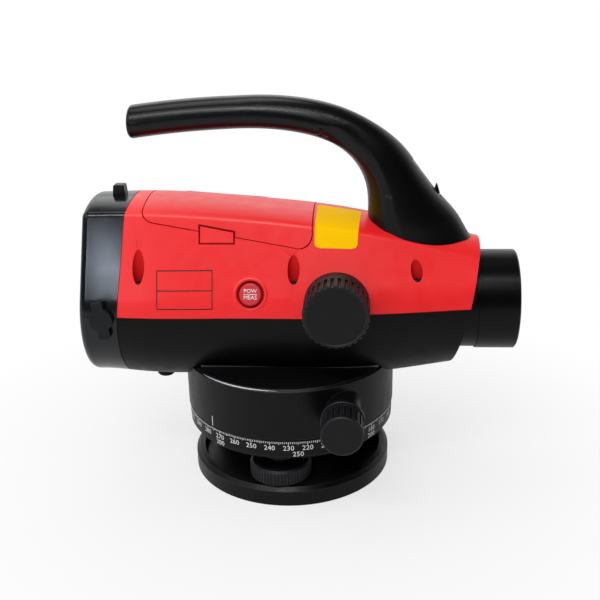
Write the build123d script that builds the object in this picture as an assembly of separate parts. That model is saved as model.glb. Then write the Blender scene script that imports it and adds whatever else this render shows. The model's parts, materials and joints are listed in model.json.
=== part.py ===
from build123d import *
import os
from math import acos, atan2, cos, degrees, hypot, pi, radians, sin, sqrt

# A digital surveying level: telescope, electronics and handle on a levelling head.
# Millimetres, +Z up, +X towards the objective, origin at the middle of the base plate's underside.

# Base plate and its thread
BASE_R = 57.5
BASE_H = 11.0
BASE_FLOOR = 6.0
BASE_RIM = 5.0
THREAD_BORE_R = 6.75
THREAD_BOSS_R = 13.0
SHOULDER_R = 20.0
SPRING_PLATE_T = 1.2

# Foot screws
FOOT_COUNT = 3
FOOT_CIRCLE_R = 40.0
FOOT_FIRST_ANGLE = -95.0
BALL_R = 5.0
FOOT_NECK_R = 3.4
FOOT_SPINDLE_R = 4.95
FOOT_SPINDLE_IN_HEAD = 10.5
FOOT_KNOB_R = 17.2
FOOT_KNOB_GAP = 0.6
FOOT_KNOB_BOTTOM = BASE_H + FOOT_KNOB_GAP
FOOT_KNOB_H = 9.2
FOOT_KNOB_GROOVES = 56
BUSH_R = 7.0
BUSH_COLLAR_R = 9.0

# Levelling head
HEAD_OVER_KNOBS = 5.2
HEAD_H = 15.4
HEAD_BOTTOM = FOOT_KNOB_BOTTOM + FOOT_KNOB_H + HEAD_OVER_KNOBS
HEAD_TOP = HEAD_BOTTOM + HEAD_H
HEAD_FLANGE = 1.1
HEAD_HUB_R = 20.0
AXIS_BUSH_R = 12.0
SPINDLE_R = 9.0

# Turning base of the instrument
DRUM_R = 60.0
DRUM_GAP = 0.4
DRUM_WALL = 4.0

# Graduated circle, a ring just inside the drum's rim
CIRCLE_BOTTOM = HEAD_BOTTOM + 5.8
CIRCLE_H = 10.0
CIRCLE_INSIDE_DRUM = 0.4
CIRCLE_FLARE = 0.3
CIRCLE_WALL = 2.1
CIRCLE_TOP_R = DRUM_R - CIRCLE_INSIDE_DRUM
CIRCLE_LOW_R = CIRCLE_TOP_R - CIRCLE_FLARE
HEAD_SEAT_R = CIRCLE_LOW_R - CIRCLE_WALL
HEAD_FLANGE_R = HEAD_SEAT_R + HEAD_FLANGE

# Slow motion drive
WORM_MODULE = 0.8
WHEEL_TEETH = 67
WORM_R = 5.2
WORM_OVER_HEAD = 16.6
WORM_Z = HEAD_TOP + WORM_OVER_HEAD
DRUM_OVER_WORM = 14.1
DRUM_TOP = WORM_Z + DRUM_OVER_WORM
WORM_TURNS = 6
WORM_SHAFT_R = 4.0
WHEEL_SEAT_R = 21.0
WHEEL_W = 6.0
TANGENT_KNOB_R = 11.0
TANGENT_KNOB_L = 18.5
TANGENT_KNOB_GROOVES = 22
TANGENT_BOSS_R = 9.5
TANGENT_BOSS_OUT = 4.2
KNOB_GAP = 0.3
TANGENT_KNOB_FACE = DRUM_R + TANGENT_BOSS_OUT + KNOB_GAP + TANGENT_KNOB_L

# Housing sections along the telescope: x, belly radius, roof half width, crease height, crown height,
# the two heights above the telescope axis
AXIS_OVER_DRUM = 29.4
AXIS_H = DRUM_TOP + AXIS_OVER_DRUM
REAR_X = -110.8
REAR_RAKE = 2.4
BELLY_R = 42.5
HOUSING_STATIONS = (
    (REAR_X - 10.0, BELLY_R + 1.1, 24.6, 57.6, 60.6),
    (-77.5, BELLY_R, 24.4, 57.0, 61.2),
    (-37.5, BELLY_R, 24.1, 55.0, 59.0),
    (2.5, BELLY_R, 24.0, 51.3, 55.0),
    (38.5, BELLY_R - 0.2, 23.6, 46.2, 49.9),
    (64.5, 39.6, 22.0, 40.3, 45.1),
    (90.0, 35.6, 20.2, 33.4, 39.6),
    (116.0, 31.6, 18.4, 26.5, 33.4),
)
CREASE_R = 4.5
WALL = 2.6
REAR_EDGE_R = 4.5
REAR_WALL = 4.0
SEAM_X = REAR_X + 23.6
SEAM_RAKE = 3.4
SEAM_BOW_R = 400.0
SEAM_Z = AXIS_H + 3.6
SEAM_BEND = (18.0, 46.0)
SEAM_STEP = 2.2
SEAM_GROOVE = 0.5
FRONT_FOOT_X = 88.9
FRONT_SLANT = 0.218
FRONT_WALL = 3.0
ROOM_LOW = AXIS_H - 75.0
ROOM_HIGH = AXIS_H + 90.0

# Cover screws, one pair at each place: x and distance from the middle plane
COVER_SCREWS = ((SEAM_X + 10.4, 34.3), (5.9, 34.0), (70.7, 29.2))
SCREW_SEAT = AXIS_H + 19.5
SCREW_END = AXIS_H - 13.5
WELL_R = 3.2
WELL_WALL = 1.8
SCREW_SHANK_R = 1.5
SCREW_HEAD_R = 2.8

# Telescope
TUBE_BORE_R = 24.6
TUBE_WALL = 2.4
BARREL_WALL = 3.15
TUBE_R = TUBE_BORE_R + BARREL_WALL
TUBE_FRONT = 127.0
TUBE_BARREL_L = 22.0
TUBE_REAR = -8.0
TUBE_BODY_R = TUBE_BORE_R + TUBE_WALL
OBJECTIVE_X = TUBE_FRONT - 13.5
FOCUS_X = 28.8
FOCUS_UP = 13.4
FOCUS_MODULE = 0.6
FOCUS_TEETH = 11
FOCUS_SHAFT_R = 3.0
FOCUS_KNOB_R = 17.2
FOCUS_KNOB_L = 21.0
FOCUS_KNOB_FACE = BELLY_R + KNOB_GAP + FOCUS_KNOB_L + 0.2
PINION_L = 4.4
PINION_Y = -TUBE_BORE_R + 3.4
FOCUS_KNOB_GROOVES = 30
CARRIAGE_L = 32.0
FOCUS_LENS_IN = 11.6
FOCUS_LENS_R = TUBE_BORE_R - FOCUS_LENS_IN

# Compensator
PENDULUM_X = -30.0
PENDULUM_Z = AXIS_H + 17.5
PENDULUM_PIN_R = 1.5

# Eyepiece
EYE_TUBE_R = 13.0
EYE_TUBE_BORE = 10.5
EYE_RING_R = 15.5
EYE_RING_REAR = REAR_X - 6.2
EYE_TUBE_FRONT = -72.0
EYE_LENS_R = 8.5

# Battery bay and door: outline corners on the near wall as x and z
DOOR_REAR_X = SEAM_X + 11.8
DOOR_FRONT_X = 15.9
DOOR_REAR_Z = AXIS_H + 52.9
DOOR_FRONT_Z = AXIS_H + 37.0
DOOR_CORNER_R = 7.0
DOOR_T = 2.6
DOOR_GAP = 0.35
BARREL_R = 6.6
DOOR_PIN_R = 1.25
LATCH_X = -34.9
LATCH_L = 18.6
LATCH_LOW = -4.7
LATCH_HIGH = 3.4
LATCH_T = 2.0
LATCH_TRAVEL = 1.2
LATCH_STEM_R = 1.0
LATCH_STEM_Y = 1.8
SHELF_Z = AXIS_H + 30.9
SHELF_T = 2.0
BATTERY_SIZE = (74.0, 28.0, 13.5)

# Main board inside the far wall, its chips as x and height above its lower edge
BOARD_Y = 30.0
BOARD_T = 1.6
BOARD_Z = AXIS_H - 22.5
CHIP_PLACES = ((-58, 25), (-36, 29), (-16, 19))

# Rubber plug under the housing
PLUG_R = 5.0
PLUG_X = -DRUM_R - 12.0
PLUG_Y = -8.0
PLUG_LOW = AXIS_H - BELLY_R - 1.6

# Measuring button on the near wall
BUTTON_X = -16.9
BUTTON_TILT = 22.9
BUTTON_R = 6.0
BUTTON_RECESS_R = 7.3
BUTTON_TRAVEL = 1.0

# Data port on the near wall of the rear cover
PORT_X = REAR_X + 13.3
PORT_Z = AXIS_H + 2.9
PORT_TURN = 9.0
PORT_R = 4.6
PORT_WALL = 1.2
PORT_Y = -BELLY_R + 2.5
PORT_CAP_T = 2.6
PORT_L = 8.0
PORT_DEPTH = 6.0
PORT_CAP_R = 6.2
PORT_PIVOT_UP = 9.4

# Handle, seen from the side: the lower and the upper edge as x and height above the telescope axis from
# the tip to the foot, half of its width across at the tip, in the middle and at the foot, and where
# between the two edges it is widest, at the tip and at the foot
HANDLE_INNER = ((-77.6, 93.0), (-42.5, 96.3), (-9.4, 97.0), (18.0, 92.3), (33.3, 84.0),
                (41.6, 73.2), (44.9, 59.8), (45.0, 45.8), (44.6, 31.8))
HANDLE_OUTER = ((-76.6, 110.5), (-41.3, 113.4), (-9.0, 114.7), (20.9, 110.9), (44.7, 101.4),
                (64.3, 86.4), (77.4, 68.6), (91.0, 52.8), (103.5, 34.6))
HANDLE_HALF = (9.6, 12.0, 22.4)
HANDLE_WIDEST = (0.5, 0.36)
HANDLE_RINGS = 14
HANDLE_TIP_L = 8.0
HANDLE_TIP_TURNS = (72, 45)

# Rear panel, sunk in the rear cover, with its display
PANEL_IN = 7.0
PANEL_STEP = 1.6
PANEL_T = 2.2
DISPLAY_W = 33.0
DISPLAY_H = 21.0
DISPLAY_LOW = 20.5

# Keys on the rear panel, as distance across and height above the telescope axis
KEY_PLACES = ((-25, 12), (-26, 0), (-25, -12), (25, 12), (26, 0), (25, -12), (-13, -26), (0, -26), (13, -26))
KEY_R = 3.6

# Flat on the front of the handle's neck, as x and height above the telescope axis, with the front sight
NECK_FLAT = ((69.35, 80.4), (85.0, 59.7))
NECK_FLAT_DEPTH = 0.9
SIGHT_H = 5.4
SIGHT_R = 2.0

# Circular level on the far ledge of the drum
LEVEL_R = 10.0
LEVEL_Y = DRUM_R - LEVEL_R - 0.5
LEVEL_WALL = 2.5

# Fits
RUN_FIT = 0.06
LOOSE = 0.3


def turned(points):
    """A solid of revolution about Z from its half section, given as radius and height."""
    outline = Polyline(*[(r, 0, z) for r, z in points], close=True)
    return revolve(make_face(outline), Axis.Z)


def turned_x(points, z=AXIS_H):
    """A solid of revolution about the telescope axis from its half section, as x and radius."""
    outline = Polyline(*[(x, 0, r) for x, r in points], close=True)
    return Pos(0, 0, z) * revolve(make_face(outline), Axis.X)


def upright(radius, low, high, x=0.0, y=0.0):
    """An upright cylinder between two heights."""
    return Pos(x, y, (low + high) / 2) * Cylinder(radius, high - low)


def along_x(radius, start, end, y=0.0, z=AXIS_H):
    """A cylinder along X."""
    return Pos((start + end) / 2, y, z) * Rot(0, 90, 0) * Cylinder(radius, end - start)


def along_y(radius, start, end, x=0.0, z=AXIS_H):
    """A cylinder along Y."""
    return Pos(x, (start + end) / 2, z) * Rot(90, 0, 0) * Cylinder(radius, end - start)


def block(x0, x1, y0, y1, z0, z1):
    """A box between two corners."""
    return Pos((x0 + x1) / 2, (y0 + y1) / 2, (z0 + z1) / 2) * Box(x1 - x0, y1 - y0, z1 - z0)


def foot_places():
    """Middle of each foot screw, as x and y."""
    angles = [radians(FOOT_FIRST_ANGLE + 360 * i / FOOT_COUNT) for i in range(FOOT_COUNT)]
    return [(FOOT_CIRCLE_R * cos(a), FOOT_CIRCLE_R * sin(a)) for a in angles]


def at_feet(shape):
    """One copy of a shape at each foot screw."""
    return [Pos(x, y, 0) * shape for x, y in foot_places()]


def grooved_knob(profile, radius, grooves, groove_r, depth, low, high):
    """A turned knob, standing on Z, with round grooves cut along its rim."""
    cutter = upright(groove_r, low, high, x=radius + groove_r - depth)
    return turned(profile) - PolarLocations(0, grooves) * cutter


# Levelling base


def base_plate():
    """Dished plate with the tripod thread in its boss and three ball sockets."""
    rim_in = BASE_R - BASE_RIM
    plate = turned([
        (THREAD_BORE_R, 0), (BASE_R - 0.4, 0), (BASE_R, 0.4), (BASE_R, BASE_H - 2.0), (BASE_R - 2.0, BASE_H),
        (rim_in, BASE_H), (rim_in - 1.5, BASE_FLOOR), (SHOULDER_R, BASE_FLOOR),
        (SHOULDER_R, BASE_FLOOR + BALL_R - 2.2), (THREAD_BOSS_R, BASE_FLOOR + BALL_R - 2.2),
        (THREAD_BOSS_R, BASE_H), (THREAD_BORE_R, BASE_H),
    ])
    socket = Pos(0, 0, BASE_FLOOR) * Sphere(BALL_R + RUN_FIT)
    return plate - at_feet(socket)


def spring_plate():
    """Three-armed leaf that holds the ball feet down, lying on the shoulder of the boss."""
    low = BASE_FLOOR + BALL_R - 2.2
    hole_r = sqrt(BALL_R ** 2 - (BALL_R - 2.2) ** 2) + LOOSE
    leaf = upright(SHOULDER_R, low, low + SPRING_PLATE_T)
    for x, y in foot_places():
        arm = Rot(0, 0, degrees(atan2(y, x))) * block(0, FOOT_CIRCLE_R, -6.0, 6.0, low, low + SPRING_PLATE_T)
        leaf += arm + upright(hole_r + 4.0, low, low + SPRING_PLATE_T, x, y)
    leaf -= upright(THREAD_BOSS_R + LOOSE, low - 1, low + 5)
    return leaf - at_feet(upright(hole_r, low - 1, low + 5))


def foot_screw():
    """Spindle with a ball foot; its upper part is threaded into the head."""
    neck_top = FOOT_KNOB_BOTTOM
    top = HEAD_BOTTOM + FOOT_SPINDLE_IN_HEAD
    spindle = turned([
        (0, BASE_FLOOR), (FOOT_NECK_R, BASE_FLOOR), (FOOT_NECK_R, neck_top), (FOOT_SPINDLE_R, neck_top),
        (FOOT_SPINDLE_R, top - 0.8), (FOOT_SPINDLE_R - 0.8, top), (0, top),
    ])
    return spindle + Pos(0, 0, BASE_FLOOR) * Sphere(BALL_R)


def foot_knob():
    """Hand wheel with a grooved rim and a dished top, pressed on the spindle."""
    r, low, top = FOOT_KNOB_R, FOOT_KNOB_BOTTOM, FOOT_KNOB_BOTTOM + FOOT_KNOB_H
    dish = top - 0.8
    profile = [
        (FOOT_SPINDLE_R, low), (r - 1.2, low), (r, low + 1.2), (r, top - 1.4), (r - 1.4, top),
        (r - 3.6, top), (r - 4.4, dish), (FOOT_SPINDLE_R, dish),
    ]
    return grooved_knob(profile, r, FOOT_KNOB_GROOVES, 0.7, 0.6, low + 1.2, top - 0.5)


def levelling_head():
    """Disc on the three screws, with the seat of the circle and the hub of the upright axis."""
    hub_low, hub_high = HEAD_BOTTOM - 4.0, WORM_Z + WHEEL_W / 2 + 1.0
    step = WORM_Z - WHEEL_W / 2 - RUN_FIT
    seat = CIRCLE_BOTTOM - RUN_FIT
    head = turned([
        (AXIS_BUSH_R, hub_low), (HEAD_HUB_R - 1, hub_low), (HEAD_HUB_R, hub_low + 1),
        (HEAD_HUB_R, HEAD_BOTTOM), (HEAD_FLANGE_R - 10.0, HEAD_BOTTOM), (HEAD_FLANGE_R, seat - 0.9),
        (HEAD_FLANGE_R, seat), (HEAD_SEAT_R, seat), (HEAD_SEAT_R, HEAD_TOP),
        (WHEEL_SEAT_R + 2.5, HEAD_TOP), (WHEEL_SEAT_R + 2.5, step), (WHEEL_SEAT_R, step),
        (WHEEL_SEAT_R, hub_high), (AXIS_BUSH_R, hub_high),
    ])
    ring_groove = turned([
        (HEAD_HUB_R + 6.0, HEAD_BOTTOM + 8.0), (HEAD_SEAT_R - 4.0, HEAD_BOTTOM + 8.0),
        (HEAD_SEAT_R - 4.0, HEAD_TOP + 1), (HEAD_HUB_R + 6.0, HEAD_TOP + 1),
    ])
    pillar = upright(BUSH_R + 1.5, HEAD_BOTTOM, HEAD_TOP)
    head = head - ring_groove + at_feet(pillar)
    return head - at_feet(upright(BUSH_R, HEAD_BOTTOM - 5, HEAD_TOP + 5))


def foot_bush():
    """Threaded bush in the head, with a bright collar under it."""
    low, bore = HEAD_BOTTOM - 2.6, FOOT_SPINDLE_R + RUN_FIT
    return turned([
        (bore, low), (BUSH_COLLAR_R - 0.6, low), (BUSH_COLLAR_R, low + 0.6), (BUSH_COLLAR_R, HEAD_BOTTOM),
        (BUSH_R, HEAD_BOTTOM), (BUSH_R, HEAD_TOP), (bore, HEAD_TOP),
    ])


def axis_bush():
    """Plain bearing of the upright axis, pressed into the hub."""
    low, high = HEAD_BOTTOM - 4.0, WORM_Z + WHEEL_W / 2 + 1.0
    bore = SPINDLE_R + RUN_FIT
    return turned([(bore, low), (AXIS_BUSH_R, low), (AXIS_BUSH_R, high), (bore, high)])


def circle_ring():
    """Ring for the horizontal graduation, turned by hand on the head."""
    top = CIRCLE_BOTTOM + CIRCLE_H
    bore = HEAD_SEAT_R + RUN_FIT
    return turned([
        (bore, CIRCLE_BOTTOM), (CIRCLE_LOW_R - 0.5, CIRCLE_BOTTOM), (CIRCLE_LOW_R, CIRCLE_BOTTOM + 0.5),
        (CIRCLE_TOP_R, top - 0.6), (CIRCLE_TOP_R - 0.4, top), (bore, top),
    ])


# Turning base and slow motion


def wheel_pitch_r():
    """Pitch radius of the worm wheel."""
    return WORM_MODULE * WHEEL_TEETH / 2


def worm_x():
    """Distance of the worm's axis from the upright axis."""
    return wheel_pitch_r() + WORM_R


def worm_wheel():
    """Brass ring held on the hub by friction, with teeth for the worm."""
    low, high = WORM_Z - WHEEL_W / 2, WORM_Z + WHEEL_W / 2
    root = wheel_pitch_r() - 1.2 * WORM_MODULE
    tip = wheel_pitch_r() + 0.85 * WORM_MODULE
    pitch = pi * WORM_MODULE
    base, crest = 0.26 * pitch, 0.12 * pitch
    bore, foot = WHEEL_SEAT_R + RUN_FIT, root - 0.4
    ring = turned([(bore, low), (root, low), (root, high), (bore, high)])
    tooth_face = make_face(Polyline((foot, -base), (tip, -crest), (tip, crest), (foot, base), close=True))
    tooth = Pos(0, 0, low) * extrude(tooth_face, WHEEL_W)
    half_step = 180 / WHEEL_TEETH
    return ring + PolarLocations(0, WHEEL_TEETH, start_angle=half_step) * tooth


def clutch_spring():
    """Washer that presses the wheel on its seat."""
    low = WORM_Z + WHEEL_W / 2
    return turned([
        (WHEEL_SEAT_R + LOOSE, low), (WHEEL_SEAT_R + 2.6, low), (WHEEL_SEAT_R + 2.6, low + 0.8),
        (WHEEL_SEAT_R + LOOSE, low + 0.8),
    ])


def worm_shaft():
    """Through shaft of the slow motion, with a one-start worm in the middle."""
    lead = pi * WORM_MODULE
    root, tip = WORM_R - 1.15 * WORM_MODULE, WORM_R + 0.85 * WORM_MODULE
    path = Helix(pitch=lead, height=lead * WORM_TURNS, radius=root)
    half_base, half_crest = 0.24 * lead, 0.11 * lead
    section = make_face(Polyline((-0.5, -half_base), (tip - root, -half_crest), (tip - root, half_crest),
                                 (-0.5, half_base), close=True))
    start = Plane(origin=path @ 0, x_dir=(1, 0, 0), z_dir=path % 0)
    thread = sweep(start * section, path=path, is_frenet=True)
    core_l = lead * (WORM_TURNS + 1)
    core = Pos(0, 0, lead * WORM_TURNS / 2) * Cylinder(root, core_l)
    seat = Plane(origin=(worm_x(), -lead * WORM_TURNS / 2, WORM_Z), x_dir=(-1, 0, 0), z_dir=(0, 1, 0))
    reach = TANGENT_KNOB_FACE - 4.0
    return seat * (core + thread) + along_y(WORM_SHAFT_R, -reach, reach, worm_x(), WORM_Z)


def tangent_knob(side):
    """Slow motion knob with a collar at its back, near (-1) or far (+1)."""
    length = TANGENT_KNOB_L
    r = TANGENT_KNOB_R
    profile = [
        (WORM_SHAFT_R, 0), (r + 0.2, 0), (r + 0.7, 0.5), (r + 0.7, 2.6), (r + 0.3, 3.0), (r - 0.6, 3.0),
        (r - 0.6, 3.6), (r, 4.0), (r, length - 0.6), (r - 0.6, length), (0, length), (0, length - 4.0),
        (WORM_SHAFT_R, length - 4.0),
    ]
    knob = grooved_knob(profile, r, TANGENT_KNOB_GROOVES, 0.85, 1.0, 3.3, length - 2.2)
    back = TANGENT_KNOB_FACE - length
    return Plane(origin=(worm_x(), side * back, WORM_Z), x_dir=(1, 0, 0), z_dir=(0, side, 0)) * knob


def drum():
    """Turning base: a deep cap over the head with two bosses for the slow motion shaft."""
    low = CIRCLE_BOTTOM + CIRCLE_H + DRUM_GAP
    inner = DRUM_R - DRUM_WALL
    cap = turned([
        (0, DRUM_TOP - DRUM_WALL), (inner, DRUM_TOP - DRUM_WALL), (inner, low), (DRUM_R - 0.5, low),
        (DRUM_R, low + 0.5), (DRUM_R, DRUM_TOP - 1.2), (DRUM_R - 1.2, DRUM_TOP), (0, DRUM_TOP),
    ])
    boss_out = DRUM_R + TANGENT_BOSS_OUT
    inside = 0.8 * wheel_pitch_r()
    for side in (-1, 1):
        ends = sorted((side * inside, side * boss_out))
        cap += along_y(TANGENT_BOSS_R, *ends, worm_x(), WORM_Z)
    return cap - along_y(WORM_SHAFT_R + RUN_FIT, -100, 100, worm_x(), WORM_Z)


def spindle():
    """Upright axis, hanging from the drum through the bearing of the head."""
    flange_low = WORM_Z + WHEEL_W / 2 + 1.0 + RUN_FIT
    top = DRUM_TOP - DRUM_WALL
    low, step = HEAD_BOTTOM - 10.0, HEAD_BOTTOM - 4.4
    return turned([
        (0, low), (SPINDLE_R - 3.0, low), (SPINDLE_R - 3.0, step), (SPINDLE_R, step),
        (SPINDLE_R, flange_low), (WHEEL_SEAT_R + 2.0, flange_low), (WHEEL_SEAT_R + 2.0, top), (0, top),
    ])


def spindle_nut():
    """Ring nut that keeps the axis in its bearing."""
    low, high = HEAD_BOTTOM - 9.4, HEAD_BOTTOM - 4.4
    bore, edge = SPINDLE_R - 3.0, AXIS_BUSH_R + 1
    ring = turned([(bore, low), (edge, low), (edge, high), (bore, high)])
    slot = block(-AXIS_BUSH_R - 5, AXIS_BUSH_R + 5, -1.2, 1.2, low - 1, low + 1.6)
    return ring - slot - Rot(0, 0, 90) * slot


# Housing


def crease_corner(r, half, crease, crown, inset):
    """Lean of the walls and the corner of wall and roof, drawn in by the inset."""
    lean = atan2(crease, half) - acos(r / hypot(half, crease))
    drop = crown - crease
    roof_r = (half ** 2 + drop ** 2) / (2 * drop)
    centre = crown - roof_r
    along, across = centre * cos(lean), centre * sin(lean)
    reach = r - inset
    root = along ** 2 - (reach ** 2 - 2 * reach * across + centre ** 2 - (roof_r - inset) ** 2)
    s = along + sqrt(root)
    return lean, (reach * cos(lean) - s * sin(lean), reach * sin(lean) + s * cos(lean))


def housing_section(x, r, half, crease, crown, inset):
    """Cross-section of the housing: round belly, leaning walls and a crowned roof."""
    lean, (corner_y, corner_z) = crease_corner(r, half, crease, crown, inset)
    belly = r - inset
    side = (belly * cos(lean), belly * sin(lean))
    outline = [
        RadiusArc(side, (0, -belly), belly),
        RadiusArc((0, -belly), (-side[0], side[1]), belly),
        Line((-side[0], side[1]), (-corner_y, corner_z)),
        ThreePointArc((-corner_y, corner_z), (0, crown - inset), (corner_y, corner_z)),
        Line((corner_y, corner_z), side),
    ]
    face = make_face(outline)
    corners = face.vertices().sort_by(Axis.Y)[-2:]
    face = fillet(corners, max(CREASE_R - inset, 0.6))
    return Plane(origin=(x, 0, AXIS_H), x_dir=(0, 1, 0), z_dir=(1, 0, 0)) * face


def housing(inset=0.0):
    """The whole housing as one smooth solid, drawn in by the inset."""
    return loft([housing_section(*station, inset) for station in HOUSING_STATIONS])


def side_prism(points, depth=80.0):
    """A prism across the instrument from an outline in x and z."""
    outline = Polyline(*[(x, 0, z) for x, z in points], close=True)
    return extrude(make_face(outline), depth, dir=(0, 1, 0), both=True)


def front_x(z):
    """The slanted front of the housing at a height."""
    return FRONT_FOOT_X + FRONT_SLANT * (z - (AXIS_H - BELLY_R))


def before_front(back=0.0):
    """Everything behind the slanted front, drawn back by a distance."""
    low, high = ROOM_LOW, ROOM_HIGH
    rear = REAR_X - 30
    return side_prism([(rear, low), (front_x(low) - back, low), (front_x(high) - back, high), (rear, high)])


def raked(shape):
    """Lean a shape at the rear forward with the rear face."""
    return Pos(REAR_X, 0, AXIS_H) * Rot(0, REAR_RAKE, 0) * Pos(-REAR_X, 0, -AXIS_H) * shape


def behind_seam(shift=0.0):
    """Everything behind the bowed and leaning seam of the rear cover."""
    bow = Cylinder(SEAM_BOW_R, 2 * (ROOM_HIGH - ROOM_LOW))
    return Pos(SEAM_X + shift, 0, AXIS_H) * Rot(0, SEAM_RAKE, 0) * Pos(-SEAM_BOW_R, 0, 0) * bow


def below_seam(shift=0.0):
    """Everything under the seam of the red cover."""
    z, rear, end = SEAM_Z + shift, REAR_X - 30, TUBE_FRONT + 5
    low, high = SEAM_BEND
    step = z + SEAM_STEP
    return side_prism([(rear, ROOM_LOW), (end, ROOM_LOW), (end, step), (high, step), (low, z), (rear, z)])


def well_places():
    """Place of each cover screw, as x and y."""
    return [(x, side * y) for x, y in COVER_SCREWS for side in (-1, 1)]


def wall_point(x_station, angle):
    """A point on the belly's side at an angle above the axis, and the outward direction, near side."""
    out = Vector(0, -cos(radians(angle)), sin(radians(angle)))
    return Vector(x_station, 0, AXIS_H) + out * BELLY_R, out


def button_plane(depth=0.0):
    """Plane of the measuring button, its Z pointing out of the wall, sunk by a depth."""
    point, out = wall_point(BUTTON_X, BUTTON_TILT)
    return Plane(origin=point - out * depth, x_dir=(1, 0, 0), z_dir=out)


def door_zone(gap=0.0):
    """Prism over the battery door, seen from the side, drawn in by a gap."""
    rear, front = DOOR_REAR_X + gap, DOOR_FRONT_X - gap
    low_rear, low_front = DOOR_REAR_Z + gap, DOOR_FRONT_Z + gap
    outline = FilletPolyline((rear, 0, ROOM_HIGH), (rear, 0, low_rear), (front, 0, low_front),
                             (front, 0, ROOM_HIGH), radius=DOOR_CORNER_R, close=False)
    face = make_face([outline, Line((front, 0, ROOM_HIGH), (rear, 0, ROOM_HIGH))])
    y = hinge_line()[0].Y
    return extrude(face, 70 + y, dir=(0, -1, 0)).moved(Pos(0, y, 0))


def station_at(x):
    """Housing sizes at x, read between the stations."""
    for low, high in zip(HOUSING_STATIONS, HOUSING_STATIONS[1:]):
        if low[0] <= x <= high[0]:
            share = (x - low[0]) / (high[0] - low[0])
            return [a + share * (b - a) for a, b in zip(low[1:], high[1:])]
    return HOUSING_STATIONS[-1][1:]


def hinge_line():
    """The two ends of the door's hinge line, inside the far crease."""
    ends = []
    for x in (DOOR_REAR_X, DOOR_FRONT_X):
        _, (y, z) = crease_corner(*station_at(x), BARREL_R - 1.2)
        ends.append(Vector(x, y, AXIS_H + z))
    y = (ends[0].Y + ends[1].Y) / 2
    return [Vector(p.X, y, p.Z) for p in ends]


def hinge_rod(radius, past=0.0):
    """A rod on the hinge line, longer than the door by an amount at each end."""
    start, end = hinge_line()
    way = (end - start).normalized()
    length = (end - start).length + 2 * past
    plane = Plane(origin=start - way * past, z_dir=way)
    return plane * Pos(0, 0, length / 2) * Cylinder(radius, length)


def seam_groove(outer):
    """A fine groove round the housing along the seams, so that they show as a line."""
    skin = outer - housing(SEAM_GROOVE)
    level = below_seam(SEAM_GROOVE) - below_seam()
    upright_cut = behind_seam(SEAM_GROOVE) - behind_seam()
    return skin & (level + upright_cut)


def upper_cover(outer, inner, groove):
    """Red upper cover: shell with screw wells, door opening, button recess and knob hole."""
    shell = outer & before_front()
    hollow = inner & before_front(FRONT_WALL)
    cover = shell - hollow
    for x, y in well_places():
        post = upright(WELL_R + WELL_WALL, SEAM_Z, ROOM_HIGH, x, y) & shell
        cover += post
    cover -= below_seam() + behind_seam() + groove
    for x, y in well_places():
        cover -= upright(WELL_R, SCREW_SEAT, ROOM_HIGH, x, y)
        cover -= upright(SCREW_SHANK_R + 0.2, SCREW_END, SCREW_SEAT + 1, x, y)
    knuckles = (hinge_rod(4.2, 4.5) - hinge_rod(20, 0.4)) & shell
    cover += knuckles - behind_seam()
    cover -= door_zone() + hinge_rod(BARREL_R + DOOR_GAP, 0.3)
    cover -= hinge_rod(DOOR_PIN_R, 4.0)
    cover -= along_x(TUBE_R + LOOSE, 60, 140)
    cover -= along_y(9.0, -80, -30, FOCUS_X, AXIS_H + FOCUS_UP)
    recess = button_plane(1.3) * Pos(0, 0, 5) * Cylinder(BUTTON_RECESS_R, 10)
    hole = button_plane() * Cylinder(BUTTON_R + 0.25, 30)
    return cover - recess - hole - latch_plane() * latch_notch()


def lower_housing(outer, inner, groove):
    """Black lower shell, standing on the drum."""
    shell = outer & before_front()
    hollow = inner & before_front(FRONT_WALL)
    body = shell - hollow
    for x, y in well_places():
        post = upright(WELL_R + WELL_WALL, SCREW_END - 4, SEAM_Z + 12, x, y) & shell
        body += post
    rail = block(-70, -6, BOARD_Y - 2, BOARD_Y + 6, BOARD_Z - 9, BOARD_Z) & shell
    body += rail
    body = (body & below_seam()) - behind_seam() - groove
    for x, y in well_places():
        body -= upright(SCREW_SHANK_R, SCREW_END, SCREW_SEAT, x, y)
    body -= upright(DRUM_R, ROOM_LOW, DRUM_TOP)
    body -= upright(PLUG_R, ROOM_LOW, DRUM_TOP + 8, PLUG_X, PLUG_Y)
    return body - along_x(TUBE_R + LOOSE, 60, 140)


def panel_outline(inset):
    """Section of the housing at the rear, drawn in."""
    return housing_section(REAR_X, *HOUSING_STATIONS[0][1:], inset)


def rear_cover(outer, inner, groove):
    """Rear cover with the framed opening for the panel and the recess of the data port."""
    end = outer & raked(block(REAR_X, 0, -90, 90, ROOM_LOW - 30, ROOM_HIGH + 30))
    edges = end.faces().sort_by(Axis.X)[0].edges()
    end = fillet(edges, REAR_EDGE_R)
    shell = end - (inner & raked(block(REAR_X + REAR_WALL, 0, -90, 90, ROOM_LOW - 30, ROOM_HIGH + 30)))
    boss = at_port(along_y(10.0, PORT_Y - 10, PORT_Y + 4, z=0)) & end
    shell += boss
    shell = (shell & behind_seam()) - groove
    shell -= raked(extrude(panel_outline(PANEL_IN + 2.5), 30))
    shell -= raked(extrude(panel_outline(PANEL_IN), REAR_WALL - PANEL_STEP))
    floor, reach = PORT_Y - 0.6, PORT_PIVOT_UP + 2.6
    recess = along_y(PORT_CAP_R + 0.8, floor - 20, floor, z=0)
    recess += block(-3.6, 3.6, floor - 20, floor, -reach, reach)
    return shell - at_port(recess + along_y(PORT_R, PORT_Y - 20, PORT_Y + 20, z=0))


# Telescope and optics


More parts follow.
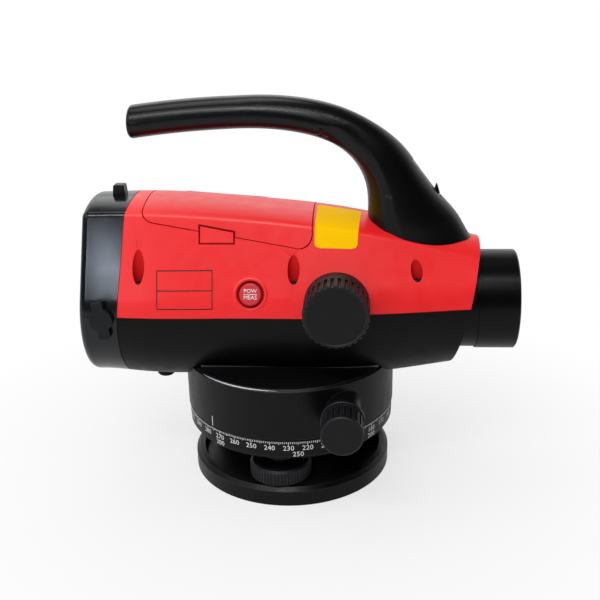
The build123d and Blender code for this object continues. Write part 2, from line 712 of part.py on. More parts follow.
def telescope_tube():
    """Tube of the telescope; its front is the bright visible barrel."""
    front, rear, barrel_rear = TUBE_FRONT, TUBE_REAR, TUBE_FRONT - TUBE_BARREL_L
    tube = turned_x([
        (rear, TUBE_BORE_R), (front - 4.0, TUBE_BORE_R), (front, TUBE_BORE_R + 1.2), (front, TUBE_R - 0.8),
        (front - 0.8, TUBE_R), (barrel_rear, TUBE_R), (barrel_rear, TUBE_BODY_R), (rear, TUBE_BODY_R),
    ])
    z = AXIS_H + FOCUS_UP
    boss = along_y(FOCUS_SHAFT_R + 4.0, -BELLY_R + 3.0, PINION_Y - 1.2, FOCUS_X, z)
    tube += boss - along_x(TUBE_BORE_R, TUBE_REAR, TUBE_FRONT)
    tube -= along_y(FOCUS_SHAFT_R + RUN_FIT, -FOCUS_KNOB_FACE, PINION_Y + 1, FOCUS_X, z)
    return tube - along_y(focus_pitch_r() + FOCUS_MODULE + LOOSE, PINION_Y - 1.0, PINION_Y + 11, FOCUS_X, z)


def objective_lens():
    """Biconvex objective, seated against its ring."""
    rim, front_r = 3.0, 90.0
    sag = front_r - sqrt(front_r ** 2 - TUBE_BORE_R ** 2)
    blank = along_x(TUBE_BORE_R, OBJECTIVE_X - rim, OBJECTIVE_X + rim + sag)
    return blank & Pos(OBJECTIVE_X + rim + sag - front_r, 0, AXIS_H) * Sphere(front_r)


def lens_ring():
    """Ring that holds the objective in the tube."""
    front = OBJECTIVE_X + 3.0
    return turned_x([
        (front + 0.8, TUBE_BORE_R - 2.6), (front, TUBE_BORE_R), (front + 3.5, TUBE_BORE_R),
        (front + 3.5, TUBE_BORE_R - 1.4),
    ])


def focus_pitch_r():
    """Pitch radius of the focusing pinion."""
    return FOCUS_MODULE * FOCUS_TEETH / 2


def focus_shaft():
    """Focusing shaft with its pinion, lying across the telescope."""
    z = AXIS_H + FOCUS_UP
    pitch_r = focus_pitch_r()
    step = pi * FOCUS_MODULE
    root, tip = pitch_r - 1.2 * FOCUS_MODULE, pitch_r + 0.8 * FOCUS_MODULE
    foot, crest = 0.24 * step, 0.10 * step
    face = make_face(Polyline((0, -foot), (tip, -crest), (tip, crest), (0, foot), close=True))
    tooth = extrude(face, PINION_L)
    gear = Pos(0, 0, PINION_L / 2) * Cylinder(root, PINION_L)
    gear += PolarLocations(0, FOCUS_TEETH, start_angle=180 / FOCUS_TEETH) * tooth
    seat = Plane(origin=(FOCUS_X, PINION_Y, z), x_dir=(0, 0, -1), z_dir=(0, 1, 0))
    return seat * gear + along_y(FOCUS_SHAFT_R, -FOCUS_KNOB_FACE + 4.0, PINION_Y, FOCUS_X, z)


def focus_knob():
    """Large focusing knob, plain at its back and grooved in front."""
    r, length = FOCUS_KNOB_R, FOCUS_KNOB_L
    profile = [
        (FOCUS_SHAFT_R, 0), (r - 0.8, 0), (r, 0.8), (r, 7.0), (r - 0.6, 7.4), (r - 0.6, 8.0), (r, 8.4),
        (r, length - 0.6), (r - 0.6, length), (r - 1.6, length), (r - 2.0, length - 0.3), (0, length - 0.3),
        (0, length - 4.0), (FOCUS_SHAFT_R, length - 4.0),
    ]
    knob = grooved_knob(profile, r, FOCUS_KNOB_GROOVES, 1.0, 1.1, 9.5, length + 1)
    back = FOCUS_KNOB_FACE - FOCUS_KNOB_L
    return Plane(origin=(FOCUS_X, -back, AXIS_H + FOCUS_UP), x_dir=(1, 0, 0), z_dir=(0, -1, 0)) * knob


def focus_carriage():
    """Sleeve that slides in the tube with the focusing lens, and its rack."""
    x0, x1 = FOCUS_X - CARRIAGE_L / 2, FOCUS_X + CARRIAGE_L / 2
    outer = TUBE_BORE_R - RUN_FIT
    sleeve = turned_x([(x0, outer - 2.4), (x0, outer), (x1, outer), (x1, outer - 2.4)])
    web = turned_x([
        (FOCUS_X - 4, FOCUS_LENS_R), (FOCUS_X - 4, outer), (FOCUS_X + 4, outer), (FOCUS_X + 4, FOCUS_LENS_R),
    ])
    pitch_line = FOCUS_UP - focus_pitch_r()
    step = pi * FOCUS_MODULE
    floor, crest = pitch_line - 0.85 * FOCUS_MODULE, pitch_line + 0.65 * FOCUS_MODULE
    rack_w = PINION_L + 0.6
    low, far = AXIS_H + floor, PINION_Y + rack_w
    channel = block(x0 - 1, x1 + 1, -TUBE_BORE_R - 5, far + 1.6, low, AXIS_H + TUBE_R)
    bar = block(x0, x1, PINION_Y - 1.6, far + 1.2, low - 4.0, low)
    bar &= along_x(outer, x0, x1)
    tooth_face = Plane.XZ * make_face(Polyline((-0.27 * step, -0.1), (-0.11 * step, crest - floor),
                                               (0.11 * step, crest - floor), (0.27 * step, -0.1), close=True))
    tooth = extrude(tooth_face, rack_w, dir=(0, 1, 0))
    count = int(CARRIAGE_L / step / 2) - 1
    teeth = [Pos(FOCUS_X + i * step, PINION_Y + 0.2, low) * tooth for i in range(-count, count + 1)]
    return (sleeve + web - channel) + bar + teeth


def focus_lens():
    """Negative focusing lens in the carriage."""
    hollow_r = 40.0
    blank = along_x(FOCUS_LENS_R, FOCUS_X - 3, FOCUS_X + 3)
    return blank - Pos(FOCUS_X + 1 + hollow_r, 0, AXIS_H) * Sphere(hollow_r)


def chassis():
    """Inner casting on the drum: saddles for the tube, a post for the eyepiece."""
    low, deck = DRUM_TOP, DRUM_TOP + 3.0
    plate = block(-78, 80, -19, 19, low, deck)
    plate = fillet(plate.edges().filter_by(Axis.Z), 6)
    for x in (2.0, 62.0):
        plate += block(x - 5, x + 5, -19, 19, deck, AXIS_H - 12)
    plate -= along_x(TUBE_BODY_R, -20, 90)
    post = block(EYE_TUBE_FRONT - 6, EYE_TUBE_FRONT, -9, 9, deck, AXIS_H)
    return plate + post - along_x(EYE_TUBE_R, REAR_X, EYE_TUBE_FRONT + 10)


def compensator_frame():
    """Portal from which the compensator hangs."""
    deck = DRUM_TOP + 3.0
    x0, x1 = PENDULUM_X - 6, PENDULUM_X + 6
    portal = block(x0, x1, -19, 19, deck, PENDULUM_Z + 8)
    portal -= block(x0 - 1, x1 + 1, -15, 15, deck + 2.5, PENDULUM_Z + 4.5)
    return portal - along_y(PENDULUM_PIN_R + RUN_FIT, -30, 30, PENDULUM_X, PENDULUM_Z)


def pendulum():
    """Swinging mirror block of the compensator with its cross pin and damping bob."""
    z = PENDULUM_Z
    body = block(PENDULUM_X - 3, PENDULUM_X + 3, -13, 13, AXIS_H - 14, z + 2.5)
    body -= along_x(9.0, PENDULUM_X - 10, PENDULUM_X + 10)
    body += block(PENDULUM_X - 5, PENDULUM_X + 5, -8, 8, AXIS_H - 20, AXIS_H - 14)
    return body + along_y(PENDULUM_PIN_R, -19, 19, PENDULUM_X, z)


def beam_splitter():
    """Glass cube that sends part of the light up to the sensor, on its seat."""
    return block(-66, -48, -9, 9, AXIS_H - 9, AXIS_H + 9)


def splitter_seat():
    """Block under the beam splitter."""
    seat = block(-66, -48, -10, 10, DRUM_TOP + 3.0, AXIS_H - 9)
    return fillet(seat.edges().filter_by(Axis.Z), 2)


def sensor_board():
    """Line sensor and its board, lying on the beam splitter."""
    top = AXIS_H + 9
    board = block(-72, -42, -13, 13, top + 2.0, top + 3.6)
    return board + block(-65, -49, -5, 5, top, top + 2.0)


def main_board():
    """Main circuit board, standing on the rail of the lower housing."""
    front = BOARD_Y + BOARD_T
    board = block(-72, -5, BOARD_Y, front, BOARD_Z, BOARD_Z + 39)
    for x, up in CHIP_PLACES:
        board += block(x - 6, x + 6, front, front + 1.4, BOARD_Z + up - 5, BOARD_Z + up + 5)
    return board


def eyepiece_tube():
    """Fixed tube of the eyepiece."""
    rear, front, bore = EYE_RING_REAR + 2.0, EYE_TUBE_FRONT, EYE_TUBE_BORE
    return turned_x([(rear, bore), (front, bore), (front, EYE_TUBE_R), (rear, EYE_TUBE_R)])


def eyepiece_ring():
    """Dioptre ring, turned to sharpen the cross hairs."""
    rear, front = EYE_RING_REAR, REAR_X - 1.2
    bore, stop = EYE_TUBE_R + RUN_FIT, EYE_RING_REAR + 2.0 - RUN_FIT
    ring = turned_x([
        (rear, EYE_LENS_R), (rear, EYE_RING_R - 1.6), (rear + 1.6, EYE_RING_R), (front, EYE_RING_R),
        (front, bore), (stop, bore), (stop, EYE_LENS_R),
    ])
    cutter = along_x(0.8, rear + 2.0, front - 0.8, z=AXIS_H + EYE_RING_R + 0.3)
    count = 30
    cuts = [Rot(360 * i / count, 0, 0) * Pos(0, 0, -AXIS_H) * cutter for i in range(count)]
    return ring - [Pos(0, 0, AXIS_H) * c for c in cuts]


def eye_lens():
    """Eye lens in the dioptre ring."""
    return along_x(EYE_LENS_R, EYE_RING_REAR + 0.4, EYE_RING_REAR + 1.9)


# Rear panel


def rear_panel():
    """Panel in the rear cover with a window opening and the eyepiece hole."""
    sunk = REAR_WALL - PANEL_STEP - PANEL_T
    panel = extrude(panel_outline(PANEL_IN + 0.15), PANEL_T).moved(Pos(sunk, 0, 0))
    across, low, high = DISPLAY_W / 2, AXIS_H + DISPLAY_LOW, AXIS_H + DISPLAY_LOW + DISPLAY_H
    panel -= block(REAR_X - 10, REAR_X + 10, -across, across, low, high)
    return raked(panel) - along_x(EYE_TUBE_R + 0.2, REAR_X - 10, REAR_X + 10)


def display():
    """Liquid crystal display behind its window."""
    rear = REAR_X + REAR_WALL - PANEL_STEP - PANEL_T
    across, low, high = DISPLAY_W / 2, AXIS_H + DISPLAY_LOW, AXIS_H + DISPLAY_LOW + DISPLAY_H
    glass = block(rear + 0.4, rear + PANEL_T, 0.1 - across, across - 0.1, low + 0.1, high - 0.1)
    back = block(rear + PANEL_T, rear + 6.0, -across - 1, across + 1, low - 0.5, high + 0.5)
    return raked(glass + back)


def keypad():
    """Rubber foil keypad on the panel, with a raised dome for each key."""
    rear = REAR_X + REAR_WALL - PANEL_STEP - PANEL_T
    foil = extrude(panel_outline(PANEL_IN + 1.6), 0.6).moved(Pos(rear - 0.6 - REAR_X, 0, 0))
    foil -= block(REAR_X - 10, REAR_X + 10, -BELLY_R, BELLY_R, AXIS_H + DISPLAY_LOW - 1.5, ROOM_HIGH)
    foil -= along_x(EYE_RING_R + 1.5, REAR_X - 10, REAR_X + 10)
    for y, up in KEY_PLACES:
        foil += along_x(KEY_R, rear - 1.5, rear - 0.3, y, AXIS_H + up)
    return raked(foil)


# Battery bay, door and button


def battery_door(outer):
    """Lid over the battery bay, rolled round its hinge at the far crease."""
    skin = (outer - housing(DOOR_T)) & door_zone(DOOR_GAP)
    barrel = outer & hinge_rod(BARREL_R, -DOOR_GAP)
    barrel -= hinge_rod(BARREL_R - 3.6, 1.0) - hinge_rod(DOOR_PIN_R + 1.8, 1.0)
    door = skin + barrel
    door -= hinge_rod(DOOR_PIN_R + RUN_FIT, 8.0)
    door -= latch_plane() * latch_notch()
    side, end = LATCH_L / 2 + DOOR_GAP, LATCH_L / 2 + DOOR_GAP + 1.5
    deep, low, high = LATCH_T + LATCH_TRAVEL + LOOSE, LATCH_STEM_Y - 2.0, LATCH_STEM_Y + 2.1
    bridge = Pos(0, 0, -deep - 2.0) * extrude(latch_strip(-end, end, low, high), 2.0)
    for x in (-end, side):
        post = extrude(latch_strip(x, x + 1.5, LATCH_STEM_Y - 0.2, high), deep + 2.0 - DOOR_T / 2)
        bridge += Pos(0, 0, -deep - 2.0) * post
    bridge -= Pos(0, LATCH_STEM_Y, -deep) * Cylinder(LATCH_STEM_R + RUN_FIT, 20)
    return door + latch_plane() * bridge


def latch_strip(start, end, low, high):
    """A strip along the door's slanting edge in the latch's plane."""
    first, last = door_edge_y(start), door_edge_y(end)
    return make_face(Polyline((start, first + low), (end, last + low), (end, last + high),
                              (start, first + high), close=True))


def latch_plane():
    """Plane of the latch on the near wall of the door, its Z pointing out, its Y up the wall."""
    lean, corner = crease_corner(*station_at(LATCH_X), 0.0)
    foot_z = door_low(LATCH_X) - AXIS_H
    r = station_at(LATCH_X)[0]
    y = (r - foot_z * sin(lean)) / cos(lean)
    out = Vector(0, -cos(lean), sin(lean))
    return Plane(origin=(LATCH_X, -y, AXIS_H + foot_z), x_dir=(1, 0, 0), z_dir=out)


def door_low(x):
    """Height of the door's lower edge at x."""
    share = (x - DOOR_REAR_X) / (DOOR_FRONT_X - DOOR_REAR_X)
    return DOOR_REAR_Z + share * (DOOR_FRONT_Z - DOOR_REAR_Z)


def latch_outline(gap=0.0):
    """Face of the latch: level below, and above in line with the door's slanting edge."""
    half = LATCH_L / 2 + gap
    low = LATCH_LOW - gap
    rear, front = LATCH_HIGH + door_edge_y(-half) + gap, LATCH_HIGH + door_edge_y(half) + gap
    return make_face(Polyline((-half, low), (half, low), (half, front), (-half, rear), close=True))


def door_edge_y(x):
    """The door's lower edge in the latch's plane, beside the latch's middle."""
    lean, _ = crease_corner(*station_at(LATCH_X), 0.0)
    return (door_low(LATCH_X + x) - door_low(LATCH_X)) / cos(lean)


def latch_notch():
    """Room of the latch's face through the wall."""
    return Pos(0, 0, -2 * WALL) * extrude(latch_outline(DOOR_GAP), 4 * WALL)


def door_latch():
    """Press latch in the door's lower edge: a face flush with the wall and its guide stem."""
    face = Pos(0, 0, -LATCH_T) * extrude(latch_outline(), LATCH_T)
    length = LATCH_TRAVEL + 3.0
    stem = Pos(0, LATCH_STEM_Y, -LATCH_T - length / 2) * Cylinder(LATCH_STEM_R, length)
    return latch_plane() * (face + stem)


def battery_shelf(inner):
    """Shelf across the upper cover that carries the battery."""
    slab = block(DOOR_REAR_X + 2, DOOR_FRONT_X - 1.5, -60, 60, SHELF_Z, SHELF_Z + SHELF_T)
    shelf = inner & slab
    for x, y in well_places():
        shelf -= upright(WELL_R + WELL_WALL + LOOSE, ROOM_LOW, ROOM_HIGH, x, y)
    return shelf


def battery():
    """Rechargeable battery on its shelf."""
    length, width, height = BATTERY_SIZE
    pack = Pos(LATCH_X + 3.5, -3.5, SHELF_Z + SHELF_T + height / 2) * Box(length, width, height)
    return fillet(pack.edges().filter_by(Axis.X), 3)


def measure_button():
    """Round measuring button in its recess, with a wider foot behind the wall."""
    behind = WALL + 1.0
    length = behind + BUTTON_TRAVEL - 0.6
    cap = Pos(0, 0, length / 2) * Cylinder(BUTTON_R, length)
    cap = fillet(cap.edges().sort_by(Axis.Z)[-1], 0.8)
    foot = Pos(0, 0, -0.6) * Cylinder(BUTTON_R + 1.2, 1.2)
    return button_plane(behind) * (cap + foot)


def at_port(shape):
    """A shape drawn round the Y axis, set at the data port and turned with it."""
    return Pos(PORT_X, 0, PORT_Z) * Rot(0, -PORT_TURN, 0) * shape


def port_socket():
    """Data connector in the rear cover."""
    shell = along_y(PORT_R, PORT_Y, PORT_Y + PORT_L, z=0)
    return at_port(shell - along_y(PORT_R - PORT_WALL, PORT_Y, PORT_Y + PORT_DEPTH, z=0))


def port_cap():
    """Rubber cap with a pull tab, hung on a short strap."""
    thick, y = PORT_CAP_T, PORT_Y - 1.0
    disc = along_y(PORT_CAP_R, y - thick, y, z=0)
    strap = block(-3, 3, y - thick, y, 4, PORT_PIVOT_UP)
    knuckle = Pos(0, y - thick / 2, PORT_PIVOT_UP) * Rot(0, 90, 0) * Cylinder(thick / 2, 6)
    tab = block(-3, 3, y - thick, y, -PORT_PIVOT_UP - 1.4, -4)
    return at_port(disc + strap + knuckle + fillet(tab.edges().filter_by(Axis.Y), 1.5))


# Handle and sights


def oval(half_width, low, high):
    """A smooth oval of six arcs, reaching down and up by different amounts from its widest line."""
    share = sqrt(0.5)
    corners = {}
    for side, reach in ((-1, low), (1, high)):
        end_r = (reach - half_width * (1 - share) / share) / (share - (1 - share) ** 2 / share)
        corners[side] = (half_width - end_r * (1 - share), side * end_r * share, end_r)
    arcs = []
    for side in (1, -1):
        x, y, end_r = corners[side]
        apex = (0, side * (high if side > 0 else low))
        half_turn = end_r * sin(pi / 8)
        ease = half_width - end_r * (1 - cos(pi / 8))
        arcs.append(ThreePointArc((half_width, 0), (ease, side * half_turn), (x, y)))
        arcs.append(ThreePointArc((x, y), apex, (-x, y)))
        arcs.append(ThreePointArc((-x, y), (-ease, side * half_turn), (-half_width, 0)))
    return make_face(arcs)


def handle_edges():
    """The handle's lower and upper edge, seen from the side."""
    steps = [i / (len(HANDLE_INNER) - 1) for i in range(len(HANDLE_INNER))]
    lower = Edge.make_spline([(x, 0, AXIS_H + up) for x, up in HANDLE_INNER], parameters=steps)
    upper = Edge.make_spline([(x, 0, AXIS_H + up) for x, up in HANDLE_OUTER], parameters=steps)
    return lower, upper


def handle(outer):
    """Carrying handle: a bowed grip with a rounded tip that flares into the neck on the cover."""
    lower, upper = handle_edges()
    tip_half, grip_half, foot_half = HANDLE_HALF
    rings = []
    for i in range(HANDLE_RINGS):
        t = i / (HANDLE_RINGS - 1)
        across = (upper @ t) - (lower @ t)
        share = HANDLE_WIDEST[0] + (HANDLE_WIDEST[1] - HANDLE_WIDEST[0]) * t
        low, high = across.length * share, across.length * (1 - share)
        half = tip_half + (grip_half - tip_half) * min(t / 0.6, 1)
        half += (foot_half - grip_half) * max(t - 0.6, 0) / 0.4
        plane = Plane(origin=lower @ t + across * share, x_dir=(0, 1, 0), z_dir=Vector(0, 1, 0).cross(across))
        for turn in HANDLE_TIP_TURNS if i == 0 else ():
            less = cos(radians(turn))
            back = Pos(0, 0, -HANDLE_TIP_L * sin(radians(turn)))
            rings.append(plane * back * oval(half * less, low * less, high * less))
        rings.append(plane * oval(half, low, high))
    return loft(rings) - outer - neck_flat()


def neck_flat():
    """Shallow flat across the front of the neck, in which the front sight stands."""
    (x0, up0), (x1, up1) = NECK_FLAT
    way = Vector(x1 - x0, 0, up1 - up0).normalized()
    out = Vector(-way.Z, 0, way.X)
    depth, far = NECK_FLAT_DEPTH, 20.0
    low = [Vector(x, 0, AXIS_H + up) - out * depth for x, up in NECK_FLAT]
    high = [p + out * far for p in low]
    return side_prism([(p.X, p.Z) for p in (low[0], low[1], high[1], high[0])])


def rear_sight(outer):
    """Rear sight on the roof of the rear cover."""
    roof = AXIS_H + HOUSING_STATIONS[0][4] - 1.0
    x, top = REAR_X + 18.9, roof + 7.6
    nub = side_prism([(x - 3.7, roof), (x + 3.7, roof), (x + 3.0, top), (x - 3.0, top)], 3.0)
    nub = fillet(nub.edges().group_by(Axis.Z)[-1], 1.0)
    return nub - outer


def front_sight(grip):
    """Front sight, a small pointed cone in the flat of the neck."""
    (x0, up0), (x1, up1) = NECK_FLAT
    share = 0.84
    x, z = x0 + share * (x1 - x0), AXIS_H + up0 + share * (up1 - up0)
    cone = Pos(x - 0.4, 0, z + SIGHT_H / 2 - 2.0) * Cone(SIGHT_R, 0.3, SIGHT_H)
    return cone - grip


# Small pieces


def cover_screws():
    """Screws in the wells of the cover."""
    screws = []
    for x, y in well_places():
        head = upright(SCREW_HEAD_R, SCREW_SEAT, SCREW_SEAT + 2.2, x, y)
        screws.append(head + upright(SCREW_SHANK_R, SCREW_END, SCREW_SEAT, x, y))
    return screws


def adjuster_plug():
    """Rubber plug over the adjusting screw under the housing."""
    low, high = PLUG_LOW, PLUG_LOW + 6.6
    plug = turned([(0, low), (PLUG_R - 0.8, low), (PLUG_R, low + 0.8), (PLUG_R, high), (0, high)])
    return plug.moved(Pos(PLUG_X, PLUG_Y, 0))


def level_housing():
    """Cup of the circular level on the far ledge of the drum."""
    inside, low = LEVEL_R - LEVEL_WALL, DRUM_TOP
    cup = turned([
        (inside, low + 2.0), (inside, low + 8.0), (LEVEL_R - 0.6, low + 8.0), (LEVEL_R, low + 7.4),
        (LEVEL_R, low), (0, low), (0, low + 2.0),
    ])
    return cup.moved(Pos(0, LEVEL_Y, 0))


def level_vial():
    """Glass vial of the circular level."""
    return upright(LEVEL_R - LEVEL_WALL, DRUM_TOP + 2.0, DRUM_TOP + 7.4, 0, LEVEL_Y)


def door_pin():
    """Hinge pin of the battery door."""
    return hinge_rod(DOOR_PIN_R, 3.8)


def build():
    """All sub-parts by name."""
    outer = housing()
    inner = housing(WALL)
    groove = seam_groove(outer)
    grip = handle(outer)
    parts = {
        "base_plate": base_plate(),
        "spring_plate": spring_plate(),
        "tribrach": levelling_head(),
        "foot_bushes": Compound(children=at_feet(foot_bush())),
        "axis_bush": axis_bush(),
        "circle_ring": circle_ring(),
        "worm_wheel": worm_wheel(),
        "clutch_spring": clutch_spring(),
        "worm_shaft": worm_shaft(),
        "tangent_knob_near": tangent_knob(-1),
        "tangent_knob_far": tangent_knob(1),
        "drum": drum(),
        "spindle": spindle(),
        "spindle_nut": spindle_nut(),
        "upper_cover": upper_cover(outer, inner, groove),
        "lower_housing": lower_housing(outer, inner, groove),
        "rear_cover": rear_cover(outer, inner, groove),
        "telescope_tube": telescope_tube(),
        "objective_lens": objective_lens(),
        "lens_ring": lens_ring(),
        "focus_shaft": focus_shaft(),
        "focus_knob": focus_knob(),
        "focus_carriage": focus_carriage(),
        "focus_lens": focus_lens(),
        "chassis": chassis(),
        "compensator_frame": compensator_frame(),
        "pendulum": pendulum(),
        "beam_splitter": beam_splitter(),
        "splitter_seat": splitter_seat(),
        "sensor_board": sensor_board(),
        "main_board": main_board(),
        "eyepiece_tube": eyepiece_tube(),
        "eyepiece_ring": eyepiece_ring(),
        "eye_lens": eye_lens(),
        "rear_panel": rear_panel(),
        "display": display(),
        "keypad": keypad(),
        "battery_door": battery_door(outer),
        "door_latch": door_latch(),
        "door_pin": door_pin(),
        "battery_shelf": battery_shelf(inner),
        "battery": battery(),
        "measure_button": measure_button(),
        "port_socket": port_socket(),
        "port_cap": port_cap(),
        "handle": grip,
        "rear_sight": rear_sight(outer),
        "front_sight": front_sight(grip),
        "cover_screws": Compound(children=cover_screws()),
        "adjuster_plug": adjuster_plug(),
        "level_housing": level_housing(),
        "level_vial": level_vial(),
    }
    for number, (screw, knob) in enumerate(zip(at_feet(foot_screw()), at_feet(foot_knob())), start=1):
        parts[f"foot_screw_{number}"] = screw
        parts[f"foot_knob_{number}"] = knob
    return parts


os.makedirs("parts", exist_ok=True)
for name, shape in build().items():
    export_step(shape, f"parts/{name}.step")
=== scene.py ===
# %% [markdown]
# # A digital surveying level
# The instrument is a telescope in a red and black housing on a levelling head. Its solid pieces come
# from CAD in metres, each already in its place, so this script adds what CAD leaves out: the finish of
# every surface, the graduated circle, the printed marks, the light and the camera.

# %% Load the frame
import json
from math import atan2, cos, pi, radians, sin

import bmesh
import bpy
from mathutils import Matrix, Vector
from mathutils.bvhtree import BVHTree
from mathutils.geometry import interpolate_bezier

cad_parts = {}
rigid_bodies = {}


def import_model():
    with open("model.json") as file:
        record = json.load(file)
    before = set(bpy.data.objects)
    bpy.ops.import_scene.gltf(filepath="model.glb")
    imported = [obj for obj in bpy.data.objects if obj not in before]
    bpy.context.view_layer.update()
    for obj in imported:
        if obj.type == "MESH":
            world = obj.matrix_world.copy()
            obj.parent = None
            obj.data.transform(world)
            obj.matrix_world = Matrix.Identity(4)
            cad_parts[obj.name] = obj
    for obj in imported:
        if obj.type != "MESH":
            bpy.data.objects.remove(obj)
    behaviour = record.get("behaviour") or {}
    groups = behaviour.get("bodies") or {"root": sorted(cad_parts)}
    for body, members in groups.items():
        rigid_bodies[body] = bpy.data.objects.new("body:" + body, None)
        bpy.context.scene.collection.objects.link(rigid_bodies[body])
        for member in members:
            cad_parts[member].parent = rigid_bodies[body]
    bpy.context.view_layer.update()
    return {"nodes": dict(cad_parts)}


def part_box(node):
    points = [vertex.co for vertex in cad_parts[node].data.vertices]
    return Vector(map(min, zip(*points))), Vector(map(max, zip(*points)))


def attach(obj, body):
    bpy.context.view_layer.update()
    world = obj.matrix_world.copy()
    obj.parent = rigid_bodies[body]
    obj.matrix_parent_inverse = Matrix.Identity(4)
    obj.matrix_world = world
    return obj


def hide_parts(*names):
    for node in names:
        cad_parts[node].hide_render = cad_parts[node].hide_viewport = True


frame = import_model()
nodes = frame["nodes"]
shown = bpy.context.scene.collection.objects
MM = 0.001
X, Y, Z = Vector((1, 0, 0)), Vector((0, 1, 0)), Vector((0, 0, 1))

# %% [markdown]
# ## Smooth shading for turned and moulded pieces
# A CAD mesh arrives as loose triangles, so a turned knob would look cut like a gem. A Weld modifier
# joins the triangles, a small node tree marks only edges over a given angle as sharp, and weighted
# normals keep the flat faces flat. Modifiers do this without touching the mesh itself.

# %% Smooth shading by angle
SHARP_ANGLE = radians(32)
SAME_POINT = 2e-6


def add(tree, kind, inputs=None, **settings):
    """Add a node, set its settings, then fill its inputs with values or links."""
    node = tree.nodes.new(kind)
    for key, value in settings.items():
        setattr(node, key, value)
    for key, value in (inputs or {}).items():
        if isinstance(value, bpy.types.NodeSocket):
            tree.links.new(value, node.inputs[key])
        else:
            node.inputs[key].default_value = value
    return node


def new_tree(name, **sizes):
    """A Geometry Nodes tree with a named input for each size, and the sockets that give them."""
    tree = bpy.data.node_groups.new(name, "GeometryNodeTree")
    tree.interface.new_socket("Geometry", in_out="INPUT", socket_type="NodeSocketGeometry")
    for key, value in sizes.items():
        kind = "NodeSocketInt" if isinstance(value, int) else "NodeSocketFloat"
        tree.interface.new_socket(key, in_out="INPUT", socket_type=kind).default_value = value
    tree.interface.new_socket("Geometry", in_out="OUTPUT", socket_type="NodeSocketGeometry")
    return tree, add(tree, "NodeGroupInput").outputs


def smoothing_tree():
    """A tree that shades everything smooth, except across edges over its limit."""
    tree, given = new_tree("smooth_by_angle", Limit=SHARP_ANGLE)
    angle = add(tree, "GeometryNodeInputMeshEdgeAngle").outputs["Unsigned Angle"]
    sharp = add(tree, "FunctionNodeCompare", {0: angle, 1: given["Limit"]}, data_type="FLOAT",
                operation="GREATER_THAN").outputs["Result"]
    soft = add(tree, "GeometryNodeSetShadeSmooth", {"Geometry": given["Geometry"]}, domain="FACE").outputs[0]
    edged = add(tree, "GeometryNodeSetShadeSmooth", {"Geometry": soft, "Selection": sharp, "Shade Smooth": False},
                domain="EDGE").outputs[0]
    add(tree, "NodeGroupOutput", {"Geometry": edged})
    return tree


smooth_tree = smoothing_tree()
for piece in nodes.values():
    piece.modifiers.new("weld", "WELD").merge_threshold = SAME_POINT
    piece.modifiers.new("smooth", "NODES").node_group = smooth_tree
    piece.modifiers.new("flat_faces", "WEIGHTED_NORMAL").keep_sharp = True
print("smoothed", len(nodes), "pieces")

# %% [markdown]
# ## Finishes
# Each finish starts from what the part is made of. A moulded plastic shows three things: a nearly even
# colour that drifts a little where the melt flowed, a roughness that varies with handling, and the fine
# grain of the mould. An edge can be given a paler colour, partly as wear where hands or a case rub and
# partly as a painted highlight: the Bevel node's rounded normal leaves the face's own normal only near an
# edge, which gives that line. One function builds all of it, with sizes in millimetres. Grains under about
# half a millimetre would vanish in the picture, so they are drawn coarser.

# %% A grained surface
FLOW_MM, TOUCH_MM, EDGE_MM = 22, 7, 0.5
NOISE_LOW, NOISE_HIGH = 0.3, 0.7
FACE_COSINE, EDGE_COSINE = 0.995, 0.88  # between the two normals, where wear starts and where it is full
GRAIN_STRENGTH = 0.8


def linear(hex_colour):
    """An sRGB hex colour as linear red, green, blue and alpha."""
    parts = [int(hex_colour[i:i + 2], 16) / 255 for i in (1, 3, 5)]
    return [c / 12.92 if c <= 0.04045 else ((c + 0.055) / 1.055) ** 2.4 for c in parts] + [1.0]


def emptied(owner):
    """The node tree of a material or a world, with nothing in it."""
    owner.use_nodes = True
    owner.node_tree.nodes.clear()
    return owner.node_tree


